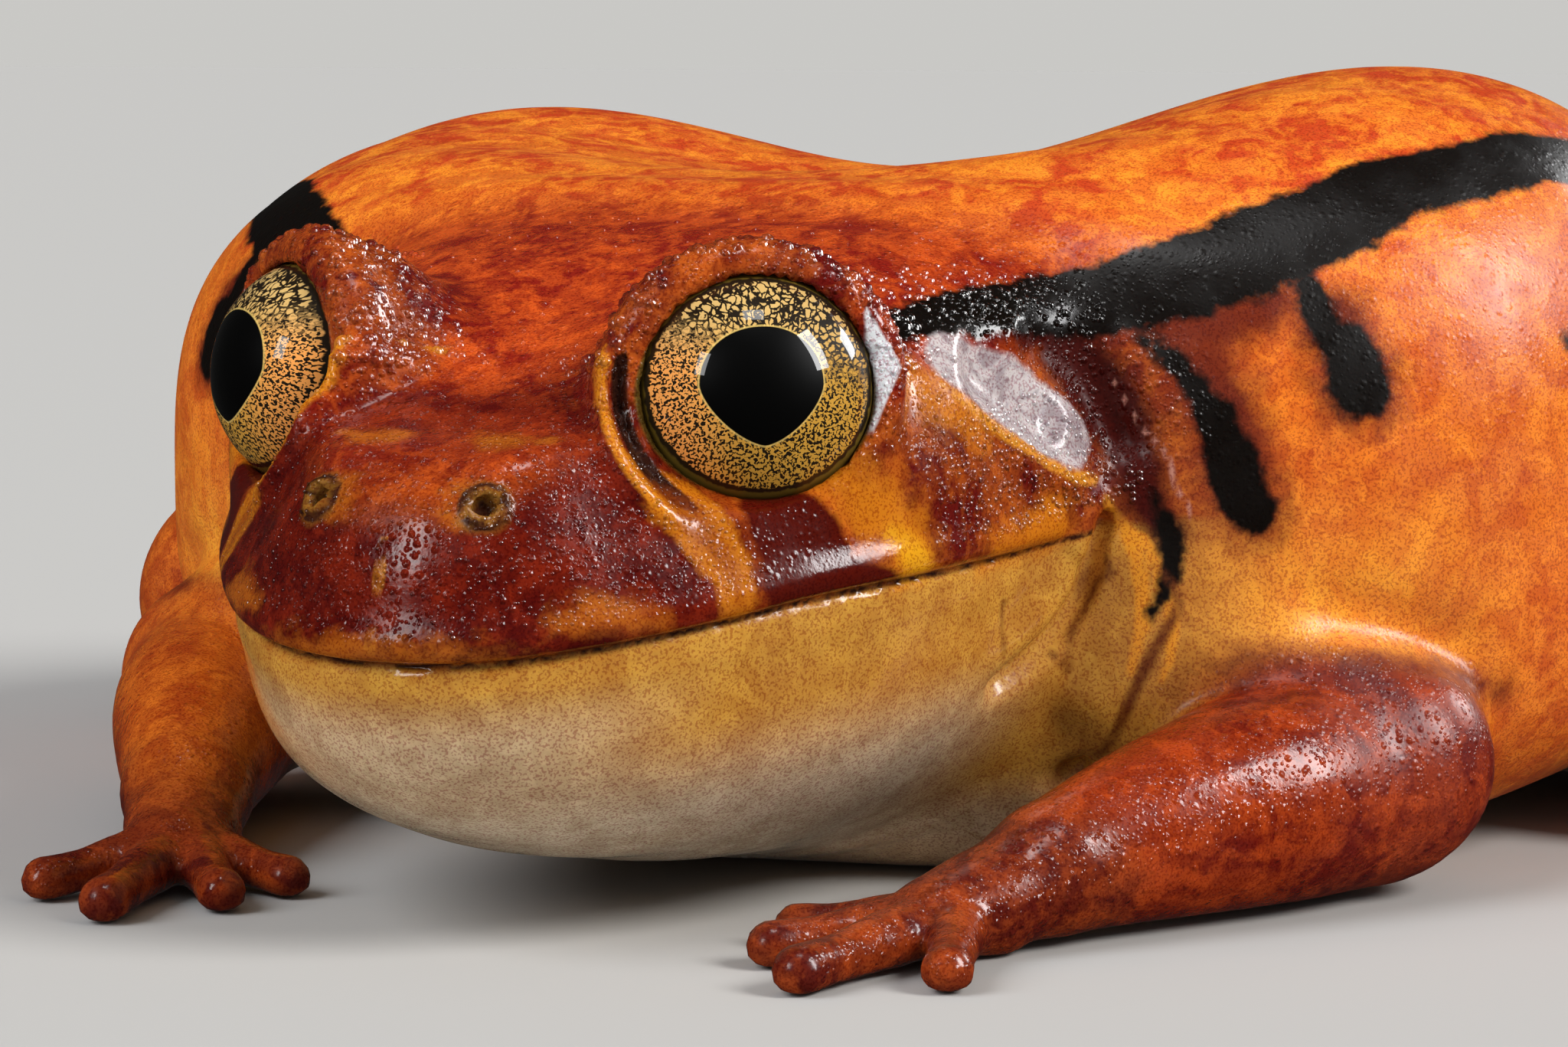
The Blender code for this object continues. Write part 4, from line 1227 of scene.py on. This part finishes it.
class Shader:
    """A short way to lay out a node tree: every call adds one node and returns its output."""

    def __init__(self, tree: bpy.types.NodeTree) -> None:
        """Starts on an empty tree."""
        self.tree = tree
        tree.nodes.clear()

    def node(self, kind: str, inputs: dict | None = None, out: int | str = 0, **settings: object) -> object:
        """Adds a node.

        Args:
            kind: the node's Blender type.
            inputs: values or outputs for its sockets, by name or number.
            out: which output to return.
            settings: the node's own properties.

        Returns:
            The output socket asked for.
        """
        made = self.tree.nodes.new(kind)
        for key, value in settings.items():
            setattr(made, key, value)
        for key, value in (inputs or {}).items():
            if isinstance(value, bpy.types.NodeSocket):
                self.tree.links.new(value, made.inputs[key])
            else:
                made.inputs[key].default_value = value
        return made.outputs[out]

    def math(self, operation: str, a: object, b: object = 0.0, clamp: bool = False) -> object:
        """One sum of two numbers."""
        return self.node("ShaderNodeMath", {0: a, 1: b}, operation=operation, use_clamp=clamp)

    def mix(self, factor: object, a: object, b: object, blend: str = "MIX") -> object:
        """Mixes two colours by a factor."""
        made = self.tree.nodes.new("ShaderNodeMix")
        made.data_type, made.blend_type = "RGBA", blend
        for socket, value in ((made.inputs[0], factor), (made.inputs[6], a), (made.inputs[7], b)):
            if isinstance(value, bpy.types.NodeSocket):
                self.tree.links.new(value, socket)
            elif isinstance(value, tuple):
                socket.default_value = (*value[:3], 1.0)
            else:
                socket.default_value = value
        return made.outputs[2]

    def attribute(self, name: str, out: str = "Fac") -> object:
        """A value stored on the mesh."""
        return self.node("ShaderNodeAttribute", out=out, attribute_name=name)

    def ramp(self, value: object, low: float, high: float, start: float = 0.0, end: float = 1.0) -> object:
        """An S-curve from start to end as the value runs from low to high."""
        inputs = {0: value, 1: low, 2: high, 3: start, 4: end}
        return self.node("ShaderNodeMapRange", inputs, interpolation_type="SMOOTHSTEP")

    def length(self, a: object, b: object) -> object:
        """The length of a flat vector."""
        squares = [self.math("MULTIPLY", one, one) for one in (a, b)]
        return self.math("SQRT", self.math("ADD", *squares))

    def noise(
        self, scale: object, detail: float = 2.0, rough: float = 0.5, twist: object = 0.0, at: object = None
    ) -> object:
        """Noise on Object coordinates, or on others that are given.

        Args:
            scale: cells to a metre, or to a unit of the given coordinates.
            detail: octaves of finer noise.
            rough: strength of each octave against the one before.
            twist: how far the noise bends itself.
            at: coordinates to use in place of the object's.

        Returns:
            The noise from 0 to 1.
        """
        spot = at or self.node("ShaderNodeTexCoord", out="Object")
        inputs = {"Vector": spot, "Scale": scale, "Detail": detail, "Roughness": rough, "Distortion": twist}
        return self.node("ShaderNodeTexNoise", inputs)

    def surface(self, inputs: dict) -> None:
        """Ends a material's tree with a Principled BSDF that has these inputs."""
        end = self.tree.nodes.new("ShaderNodeOutputMaterial")
        self.tree.links.new(self.node("ShaderNodeBsdfPrincipled", inputs), end.inputs["Surface"])

    def group(self, tree: bpy.types.NodeTree, inputs: dict, out: int | str = 0) -> object:
        """Places a node group with its own values."""
        made = self.tree.nodes.new("ShaderNodeGroup")
        made.node_tree = tree
        for key, value in inputs.items():
            if isinstance(value, bpy.types.NodeSocket):
                self.tree.links.new(value, made.inputs[key])
            else:
                made.inputs[key].default_value = value
        return made.outputs[out]


def new_material(name: str) -> tuple[bpy.types.Material, Shader]:
    """A material on an empty tree, and its Shader."""
    made = bpy.data.materials.new(name)
    made.use_nodes = True
    return made, Shader(made.node_tree)


def new_group(
    name: str, inputs: dict[str, float], outputs: Iterable[str]
) -> tuple[bpy.types.NodeTree, Shader, dict, object]:
    """An empty shader node group with number sockets.

    Args:
        name: the group's name.
        inputs: each input's name and default.
        outputs: the outputs' names.

    Returns:
        The tree, its Shader, the input sockets by name, and the output node.
    """
    tree = bpy.data.node_groups.new(name, "ShaderNodeTree")
    for key, value in inputs.items():
        socket = tree.interface.new_socket(key, in_out="INPUT", socket_type="NodeSocketFloat")
        socket.default_value = value
    for key in outputs:
        tree.interface.new_socket(key, in_out="OUTPUT", socket_type="NodeSocketFloat")
    shader = Shader(tree)
    start, end = tree.nodes.new("NodeGroupInput"), tree.nodes.new("NodeGroupOutput")
    return tree, shader, {key: start.outputs[key] for key in inputs}, end


def marbling_group() -> bpy.types.NodeTree:
    """Blotches with veins between them: two noises added, one twisted, and squeezed to a mask."""
    inputs = {"Scale": 400.0, "Twist": 1.2, "Low": 0.4, "High": 0.6}
    tree, sh, given, end = new_group("marbling", inputs, ["Mask"])
    broad = sh.noise(given["Scale"], 3.0, 0.55, given["Twist"])
    fine = sh.noise(sh.math("MULTIPLY", given["Scale"], 4.7), 2.0, 0.6, 0.6)
    total = sh.math("ADD", sh.math("MULTIPLY", broad, 0.72), sh.math("MULTIPLY", fine, 0.28))
    tree.links.new(sh.ramp(total, given["Low"], given["High"]), end.inputs["Mask"])
    return tree


def edge_group() -> bpy.types.NodeTree:
    """A mark's mask: its inside distance, frayed by noise, squeezed about 0."""
    inputs = {"Inside": 0.0, "Fray": 0.3, "Scale": 1500.0, "Soft": 0.12}
    tree, sh, given, end = new_group("mark_edge", inputs, ["Mask"])
    wander = sh.math("SUBTRACT", sh.noise(given["Scale"], 3.0, 0.6), 0.5)
    reach = sh.math("MULTIPLY", given["Fray"], 2.0)
    value = sh.math("ADD", given["Inside"], sh.math("MULTIPLY", wander, reach))
    low = sh.math("MULTIPLY", given["Soft"], -1.0)
    tree.links.new(sh.ramp(value, low, given["Soft"]), end.inputs["Mask"])
    return tree


def grain_group() -> bpy.types.NodeTree:
    """Height of wet granular skin, in mm: domes of two sizes, each cell's dome of its own height."""
    tree, sh, given, end = new_group("granular", {"Wart": 0.5, "Scale": 2300.0}, ["Height"])
    spot = sh.node("ShaderNodeTexCoord", out="Object")
    total: object = 0.0
    for factor, height, low in ((1.0, 0.13, 0.25), (2.1, 0.06, 0.20)):
        scale = sh.math("MULTIPLY", given["Scale"], factor)
        cells = sh.node("ShaderNodeTexVoronoi", {"Vector": spot, "Scale": scale, "Randomness": 1.0})
        own = sh.node("ShaderNodeSeparateColor", {0: cells.node.outputs["Color"]})
        dome = sh.math("SUBTRACT", 1.0, sh.ramp(cells, 0.0, 0.5))
        tall = sh.math("MULTIPLY", dome, sh.ramp(own, low, low + 0.5))
        total = sh.math("ADD", total, sh.math("MULTIPLY", tall, height))
    fine = sh.math("MULTIPLY", sh.noise(sh.math("MULTIPLY", given["Scale"], 2.2), 1.0, 0.5), 0.006)
    warty = sh.math("MULTIPLY", total, given["Wart"])
    tree.links.new(sh.math("ADD", warty, fine), end.inputs["Height"])
    return tree


@dataclass(frozen=True)
class SkinFinish:
    """The frog's wet skin: ground colours marbled together, crisp marks over them, grains and gloss."""

    black: Colour = (0.005, 0.003, 0.002)
    shade: Colour = (0.17, 0.020, 0.005)
    yellow: Colour = (0.50, 0.15, 0.006)
    rim: Colour = (0.64, 0.22, 0.010)
    glow: Colour = (0.62, 0.19, 0.008)
    amber: Colour = (0.78, 0.36, 0.010)
    gold: Colour = (0.72, 0.28, 0.018)
    dark_patch: Colour = (0.085, 0.005, 0.002)
    # the pale grey: painted glare on the tympanum
    drum_glare: Colour = (0.62, 0.57, 0.58)
    drum_dark: Colour = (0.34, 0.28, 0.30)
    ember: Colour = (0.40, 0.10, 0.007)
    # painted shade in the groove behind the tympanum
    furrow_shade: Colour = (0.065, 0.004, 0.002)
    # painted highlight on the ridge of the fold behind the tympanum
    fold_highlight: Colour = (0.50, 0.22, 0.16)
    # painted shade for the grooves behind the jaw corner
    crease_shade: Colour = (0.15, 0.035, 0.006)
    white: Colour = (0.70, 0.72, 0.76)
    lid: Colour = (0.14, 0.085, 0.015)
    # painted shade in the groove in front of the eye
    slit_shade: Colour = (0.030, 0.008, 0.004)
    lip: Colour = (0.045, 0.012, 0.005)
    stripe_middle: Colour = (0.26, 0.045, 0.005)
    stipple: Colour = (0.70, 0.52, 0.55)
    ring: Colour = (0.26, 0.11, 0.015)
    pit: Colour = (0.05, 0.014, 0.006)

    def marks(self) -> Iterable[tuple[str, Colour, float, float]]:
        """Each plain mark in the order of painting: its attribute, colour, fray and softness in mm."""
        return (
            ("shade", self.shade, 1.0, 1.0),
            ("furrow_shade", self.furrow_shade, 0.5, 0.7),
            ("glow", self.glow, 1.3, 0.9),
            ("ember", self.ember, 1.2, 0.6),
            ("patch", self.dark_patch, 0.3, 0.22),
            ("amber", self.amber, 0.5, 0.5),
            ("stripe", self.yellow, 0.5, 0.25),
            ("rim", self.rim, 0.15, 0.12),
            ("gold", self.gold, 0.2, 0.16),
            ("band", self.black, 0.6, 0.25),
            ("fold_highlight", self.fold_highlight, 0.06, 0.1),
            ("crease_shade", self.crease_shade, 0.1, 0.22),
            ("membrane", self.white, 0.1, 0.1),
            ("lid", self.lid, 0.05, 0.08),
            ("slit_shade", self.slit_shade, 0.06, 0.08),
            ("nostril", self.ring, 0.3, 0.3),
            ("pit", self.pit, 0.06, 0.08),
            ("lip", self.lip, 0.05, 0.08),
        )

    def build(self) -> bpy.types.Material:
        """Makes the material."""
        made, sh = new_material("wet_skin")
        height = sh.group(grain_group(), {"Wart": sh.attribute("wart"), "Scale": 2700.0})
        wet = sh.ramp(sh.noise(500.0, 2.0, 0.5), 0.35, 0.65, 0.0, 0.1)
        sh.surface(
            {
                "Base Color": self.colour(sh),
                "Roughness": sh.math("ADD", sh.ramp(sh.attribute("dull"), 0.0, 1.0, 0.14, 0.30), wet),
                "Normal": sh.node("ShaderNodeBump", {"Strength": 1.0, "Distance": MM, "Height": height}),
                "Specular IOR Level": 0.42,
                "Coat Weight": sh.attribute("bead"),
                "Coat Roughness": 0.18,
                "Coat IOR": 1.75,
                "Subsurface Weight": 0.1,
                "Subsurface Radius": (1.0, 0.25, 0.1),
                "Subsurface Scale": 0.001,
            }
        )
        return made

    def colour(self, sh: Shader) -> object:
        """The skin's colour: marbled grounds, the marks in their order, the tympanum with its painted
        glare, and a fine stipple.
        """
        marbling, edge = marbling_group(), edge_group()
        light, dark = sh.attribute("ground_light", "Color"), sh.attribute("ground_dark", "Color")
        broad = sh.group(marbling, {"Scale": 190.0, "Twist": 1.6, "Low": 0.43, "High": 0.57})
        fleck = sh.group(marbling, {"Scale": 560.0, "Twist": 1.2, "Low": 0.44, "High": 0.60})
        mask = sh.math("ADD", sh.math("MULTIPLY", broad, 0.45), sh.math("MULTIPLY", fleck, 0.55))
        colour = sh.mix(mask, dark, light)
        for name, tone, fray, soft in self.marks():
            inputs = {"Inside": sh.attribute(name), "Fray": fray, "Scale": 900.0, "Soft": soft}
            colour = sh.mix(sh.group(edge, inputs), colour, tone)
        # Pale blotches of painted glare on the tympanum, over its own darker grey.
        blotches = sh.group(marbling, {"Scale": 700.0, "Low": 0.36, "High": 0.60})
        mask = sh.group(edge, {"Inside": sh.attribute("drum_glare"), "Fray": 0.25, "Scale": 1200.0, "Soft": 0.2})
        colour = sh.mix(mask, colour, sh.mix(blotches, self.drum_dark, self.drum_glare))
        middle = sh.ramp(sh.attribute("stripe"), 0.35, 0.95, 0.0, 0.6)
        colour = sh.mix(middle, colour, self.stripe_middle)
        dots = sh.ramp(sh.noise(9500.0, 1.0, 0.5), 0.50, 0.62)
        return sh.mix(dots, colour, self.stipple, "MULTIPLY")


@dataclass(frozen=True)
class EyeFinish:
    """A gold iris netted with black round a black pupil, under a clear glossy cornea."""

    gold: Colour = (0.62, 0.33, 0.045)
    pale: Colour = (0.66, 0.43, 0.15)
    orange: Colour = (0.92, 0.38, 0.09)
    ring: Colour = (0.80, 0.56, 0.16)
    line: Colour = (0.016, 0.010, 0.005)
    iris: tuple[float, float] = (4.22, 3.95)
    middle: float = 0.08
    border: Colour = (0.15, 0.095, 0.014)

    def build(self) -> bpy.types.Material:
        """Makes the material."""
        made, sh = new_material("eye")
        across, over, pupil = sh.attribute("across"), sh.attribute("over"), sh.attribute("pupil")
        away = sh.length(across, over)
        angle = sh.math("ARCTAN2", over, across)
        flat = sh.node("ShaderNodeCombineXYZ", {0: across, 1: over, 2: 0.0})
        maze = sh.ramp(sh.noise(9.5, 0.5, 0.4, 0.7, flat), 0.46, 0.50)
        wheel = {
            0: sh.math("MULTIPLY", sh.math("COSINE", angle), 3.2),
            1: sh.math("MULTIPLY", sh.math("SINE", angle), 3.2),
            2: sh.math("MULTIPLY", away, 0.8),
        }
        spokes = sh.node("ShaderNodeCombineXYZ", wheel)
        wander = sh.node("ShaderNodeTexNoise", {"Vector": flat, "Scale": 2.5, "Detail": 2.0}, out="Color")
        wander = sh.node("ShaderNodeVectorMath", {0: wander, 3: 0.5}, operation="SCALE")
        bent = sh.node("ShaderNodeVectorMath", {0: spokes, 1: wander}, operation="ADD")
        cells = {"Vector": bent, "Scale": 4.0, "Randomness": 1.0}
        crack = sh.ramp(sh.node("ShaderNodeTexVoronoi", cells, feature="DISTANCE_TO_EDGE"), 0.10, 0.18)
        high = sh.ramp(sh.math("ADD", over, sh.math("MULTIPLY", across, 0.25)), 0.2, 2.2)
        open_gold = sh.mix(high, maze, crack)
        tone = sh.mix(sh.ramp(across, -0.4, -3.4), self.gold, self.orange)
        tone = sh.mix(sh.ramp(over, 0.4, 3.0), tone, self.pale)
        colour = sh.mix(open_gold, self.line, tone)
        colour = sh.mix(sh.math("MULTIPLY", sh.ramp(pupil, -0.12, -0.05), 0.7), colour, self.ring)
        colour = sh.mix(sh.ramp(pupil, -0.04, 0.0), colour, (0.001, 0.001, 0.001))
        high_over = sh.math("SUBTRACT", over, self.middle)
        wide = sh.math("MULTIPLY", across, 1 / self.iris[0])
        tall = sh.math("MULTIPLY", high_over, 1 / self.iris[1])
        wobble = sh.math("SUBTRACT", sh.noise(2.6, 2.0, 0.5, 0.0, flat), 0.5)
        frayed = sh.math("ADD", sh.length(wide, tall), sh.math("MULTIPLY", wobble, 0.06))
        colour = sh.mix(sh.ramp(frayed, 0.975, 0.99), colour, self.line)
        colour = sh.mix(sh.ramp(frayed, 1.012, 1.03), colour, self.border)
        sh.surface(
            {
                "Base Color": colour,
                "Roughness": 0.45,
                "Specular IOR Level": 0.1,
                "Coat Weight": 1.0,
                "Coat Roughness": 0.015,
                "Coat IOR": 1.38,
            }
        )
        return made


@dataclass
class Eye:
    """One globe, painted by how far each point lies across and over its own axis."""

    side: int
    radius: float = GLOBE_RADIUS - 0.03
    rings: int = 90
    spokes: int = 128

    def build(self, shift: float, finish: bpy.types.Material) -> bpy.types.Object:
        """A sphere with its pole on the axis, its rings evenly spaced in angle."""
        out, level, upright = eye_frame()
        polar = np.linspace(0.0, math.pi, self.rings + 1)[1:-1]
        turn = np.linspace(0.0, 2 * math.pi, self.spokes, endpoint=False)
        a = (self.radius * np.sin(polar))[:, None] * np.cos(turn)
        b = (self.radius * np.sin(polar))[:, None] * np.sin(turn)
        c = np.broadcast_to((self.radius * np.cos(polar))[:, None], a.shape)
        local = np.stack([a, b, c], -1).reshape(-1, 3)
        local = np.concatenate([local, [[0, 0, self.radius], [0, 0, -self.radius]]])
        p = globe_centre() + local @ np.stack([level, upright, out])
        p[:, 0] *= self.side
        index = np.arange(len(polar) * self.spokes).reshape(len(polar), self.spokes)
        after = np.roll(index, -1, axis=1)
        quads = np.stack([index[:-1], index[1:], after[1:], after[:-1]], -1).reshape(-1, 4)
        front, rear = len(local) - 2, len(local) - 1
        first = np.stack([np.full(self.spokes, front), index[0], after[0]], -1)
        last = np.stack([np.full(self.spokes, rear), after[-1], index[-1]], -1)
        triangles = np.concatenate([first, last, quads[:, [0, 1, 2]], quads[:, [0, 2, 3]]])
        if self.side < 0:
            triangles = triangles[:, ::-1]
        name = "globe_left" if self.side > 0 else "globe_right"
        obj = make_mesh(name, p, triangles, shift)
        put_attribute(obj, "across", local[:, 0])
        put_attribute(obj, "over", local[:, 1])
        put_attribute(obj, "pupil", np.where(local[:, 2] > 0, self.pupil(local[:, 0], local[:, 1]), -9.0))
        obj.data.materials.append(finish)
        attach(obj, "root")
        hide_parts("eye_left" if self.side > 0 else "eye_right")
        return obj

    def pupil(self, u: Array, v: Array) -> Array:
        """Inside distance of the pupil: a round top over a blunt diamond that points down."""
        power = np.where(v > 0, 2.1, 1.5)
        tall = np.where(v > 0, 2.15, 2.25)
        wide = np.where(u > 0, 2.2, 2.4)
        size = (np.abs(u / wide) ** power + np.abs(v / tall) ** power) ** (1 / power)
        return (1 - size) * 2.25


def facing(bearing: float, lift: float) -> Vector:
    """The direction from the frog to a place at a bearing, to its left of straight ahead, and a lift."""
    turn, rise = math.radians(bearing), math.radians(lift)
    return Vector((math.sin(turn) * math.cos(rise), -math.cos(turn) * math.cos(rise), math.sin(rise)))


@dataclass
class Sky:
    """A broad soft light from far away. It gives the light and the shadows, and no reflection."""

    name: str
    bearing: float
    lift: float
    strength: float
    spread: float
    colour: Colour

    def build(self) -> None:
        """Places the light."""
        data = bpy.data.lights.new(self.name, "SUN")
        data.energy, data.angle, data.color = self.strength, math.radians(self.spread), self.colour
        obj = bpy.data.objects.new(self.name, data)
        obj.rotation_euler = facing(self.bearing, self.lift).to_track_quat("Z", "Y").to_euler()
        obj.visible_glossy = False
        bpy.context.scene.collection.objects.link(obj)


@dataclass
class Softbox:
    """A light panel at a bearing round the frog's head, there for its reflection alone."""

    name: str
    bearing: float
    lift: float
    distance: float
    size: tuple[float, float]
    radiance: float
    aim: Point = (10.0, 20.0, 18.0)

    def build(self, shift: float) -> None:
        """Places the light, facing its aim. Its power is its radiance times its area times pi."""
        data = bpy.data.lights.new(self.name, "AREA")
        data.shape = "RECTANGLE"
        data.size, data.size_y = self.size
        data.energy = self.radiance * self.size[0] * self.size[1] * math.pi
        way = facing(self.bearing, self.lift)
        obj = bpy.data.objects.new(self.name, data)
        obj.location = Vector((self.aim[0], self.aim[1] - shift, self.aim[2])) * MM + way * self.distance
        obj.rotation_euler = way.to_track_quat("Z", "Y").to_euler()
        obj.visible_camera = obj.visible_diffuse = False
        bpy.context.scene.collection.objects.link(obj)


@dataclass
class Studio:
    """The plain floor, the soft lights and the camera at the photograph's angle."""

    bearing: float = 26.0
    lift: float = 6.3
    place: Point = (85.6, -141.1, 35.1)
    lens: float = 103.7
    floor: Colour = (0.487, 0.489, 0.487)
    backdrop: float = 0.585  # the world's strength as the camera sees it
    ambient: float = 0.30  # and as it lights the frog
    mirrored: float = 0.06  # the share of that in the wet skin's reflections
    tint: Colour = (1.0, 0.99, 0.957)
    skies: tuple[Sky, ...] = (
        Sky("key", 84.0, 38.0, 2.7, 24.0, (1.0, 0.96, 0.91)),
        Sky("fill", -34.0, 40.0, 2.1, 40.0, (0.97, 0.98, 1.0)),
    )
    lights: tuple[Softbox, ...] = (
        Softbox("strip", 98.0, 34.0, 0.36, (0.09, 0.20), 20.0),
        Softbox("window", -24.0, 26.0, 0.40, (0.07, 0.13), 9.0),
        Softbox("top", 30.0, 78.0, 0.42, (0.11, 0.08), 9.0),
        Softbox("back", 152.0, 22.0, 0.42, (0.18, 0.10), 14.0),
    )

    def build(self, shift: float) -> None:
        """Sets floor, world, lights and camera."""
        for light in self.lights:
            light.build(shift)
        for sky in self.skies:
            sky.build()
        self.build_floor()
        self.build_world()
        turn = math.radians(self.bearing)
        back = facing(self.bearing, self.lift)
        right = Vector((math.cos(turn), math.sin(turn), 0.0))
        turned = Matrix((right, back.cross(right), back)).transposed().to_4x4()
        data = bpy.data.cameras.new("camera")
        data.lens, data.sensor_width, data.clip_start = self.lens, 36.0, 0.001
        camera = bpy.data.objects.new("camera", data)
        x, y, z = self.place
        camera.matrix_world = Matrix.Translation(Vector((x, y - shift, z)) * MM) @ turned
        bpy.context.scene.collection.objects.link(camera)
        bpy.context.scene.camera = camera
        bpy.context.scene.view_settings.view_transform = "Standard"

    def build_floor(self) -> None:
        """A wide pale floor just under the frog."""
        half = 3.0
        corners = np.array([(-half, -half), (half, -half), (half, half), (-half, half)])
        mesh = bpy.data.meshes.new("floor")
        mesh.from_pydata(np.c_[corners, np.full(4, -0.00003)].tolist(), [], [(0, 1, 2, 3)])
        floor = bpy.data.objects.new("floor", mesh)
        floor.visible_glossy = False
        bpy.context.scene.collection.objects.link(floor)
        made = bpy.data.materials.new("pale_floor")
        made.use_nodes = True
        shader = made.node_tree.nodes["Principled BSDF"]
        shader.inputs["Base Color"].default_value = (*self.floor, 1.0)
        shader.inputs["Roughness"].default_value = 0.9
        shader.inputs["Specular IOR Level"].default_value = 0.05
        mesh.materials.append(made)

    def build_world(self) -> None:
        """An even pale backdrop, which lights the frog less than it shows."""
        world = bpy.data.worlds.new("studio")
        world.use_nodes = True
        sh = Shader(world.node_tree)
        seen = sh.node("ShaderNodeLightPath", out="Is Camera Ray")
        mirrored = sh.node("ShaderNodeLightPath", out="Is Glossy Ray")
        level = sh.node("ShaderNodeMapRange", {0: seen, 3: self.ambient, 4: self.backdrop})
        share = sh.node("ShaderNodeMapRange", {0: mirrored, 3: 1.0, 4: self.mirrored})
        level = sh.math("MULTIPLY", level, share)
        surface = sh.node("ShaderNodeBackground", {"Color": (*self.tint, 1.0), "Strength": level})
        end = world.node_tree.nodes.new("ShaderNodeOutputWorld")
        world.node_tree.links.new(surface, end.inputs["Surface"])
        bpy.context.scene.world = world


def main() -> None:
    """Builds the frog's looks in order."""
    logging.basicConfig(level=logging.INFO, format="%(message)s")
    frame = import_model()
    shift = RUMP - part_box("torso")[1].y / MM
    net = SkinNet(FrogForm())
    p, faces = net.build()
    markings = Markings(net)
    wet = SkinFinish().build()
    skin = make_mesh("skin", p, faces, shift)
    skin.data.materials.append(wet)
    for name, values in markings.values(p).items():
        put_attribute(skin, name, values)
    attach(skin, "root")
    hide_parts(*[n for n in frame["nodes"] if not n.startswith("eye")])
    log.info("skin: %d points, %d quads", len(p), len(faces))
    slope = net.slope(p)
    warts = Warts(p, slope / np.linalg.norm(slope, axis=1)[:, None]).build(markings, shift, wet)
    log.info("warts: %d faces", len(warts.data.polygons))
    iris = EyeFinish().build()
    for side in (1, -1):
        eye = Eye(side).build(shift, iris)
        log.info("%s: %d faces", eye.name, len(eye.data.polygons))
    Studio().build(shift)


if __name__ == "__main__":
    main()
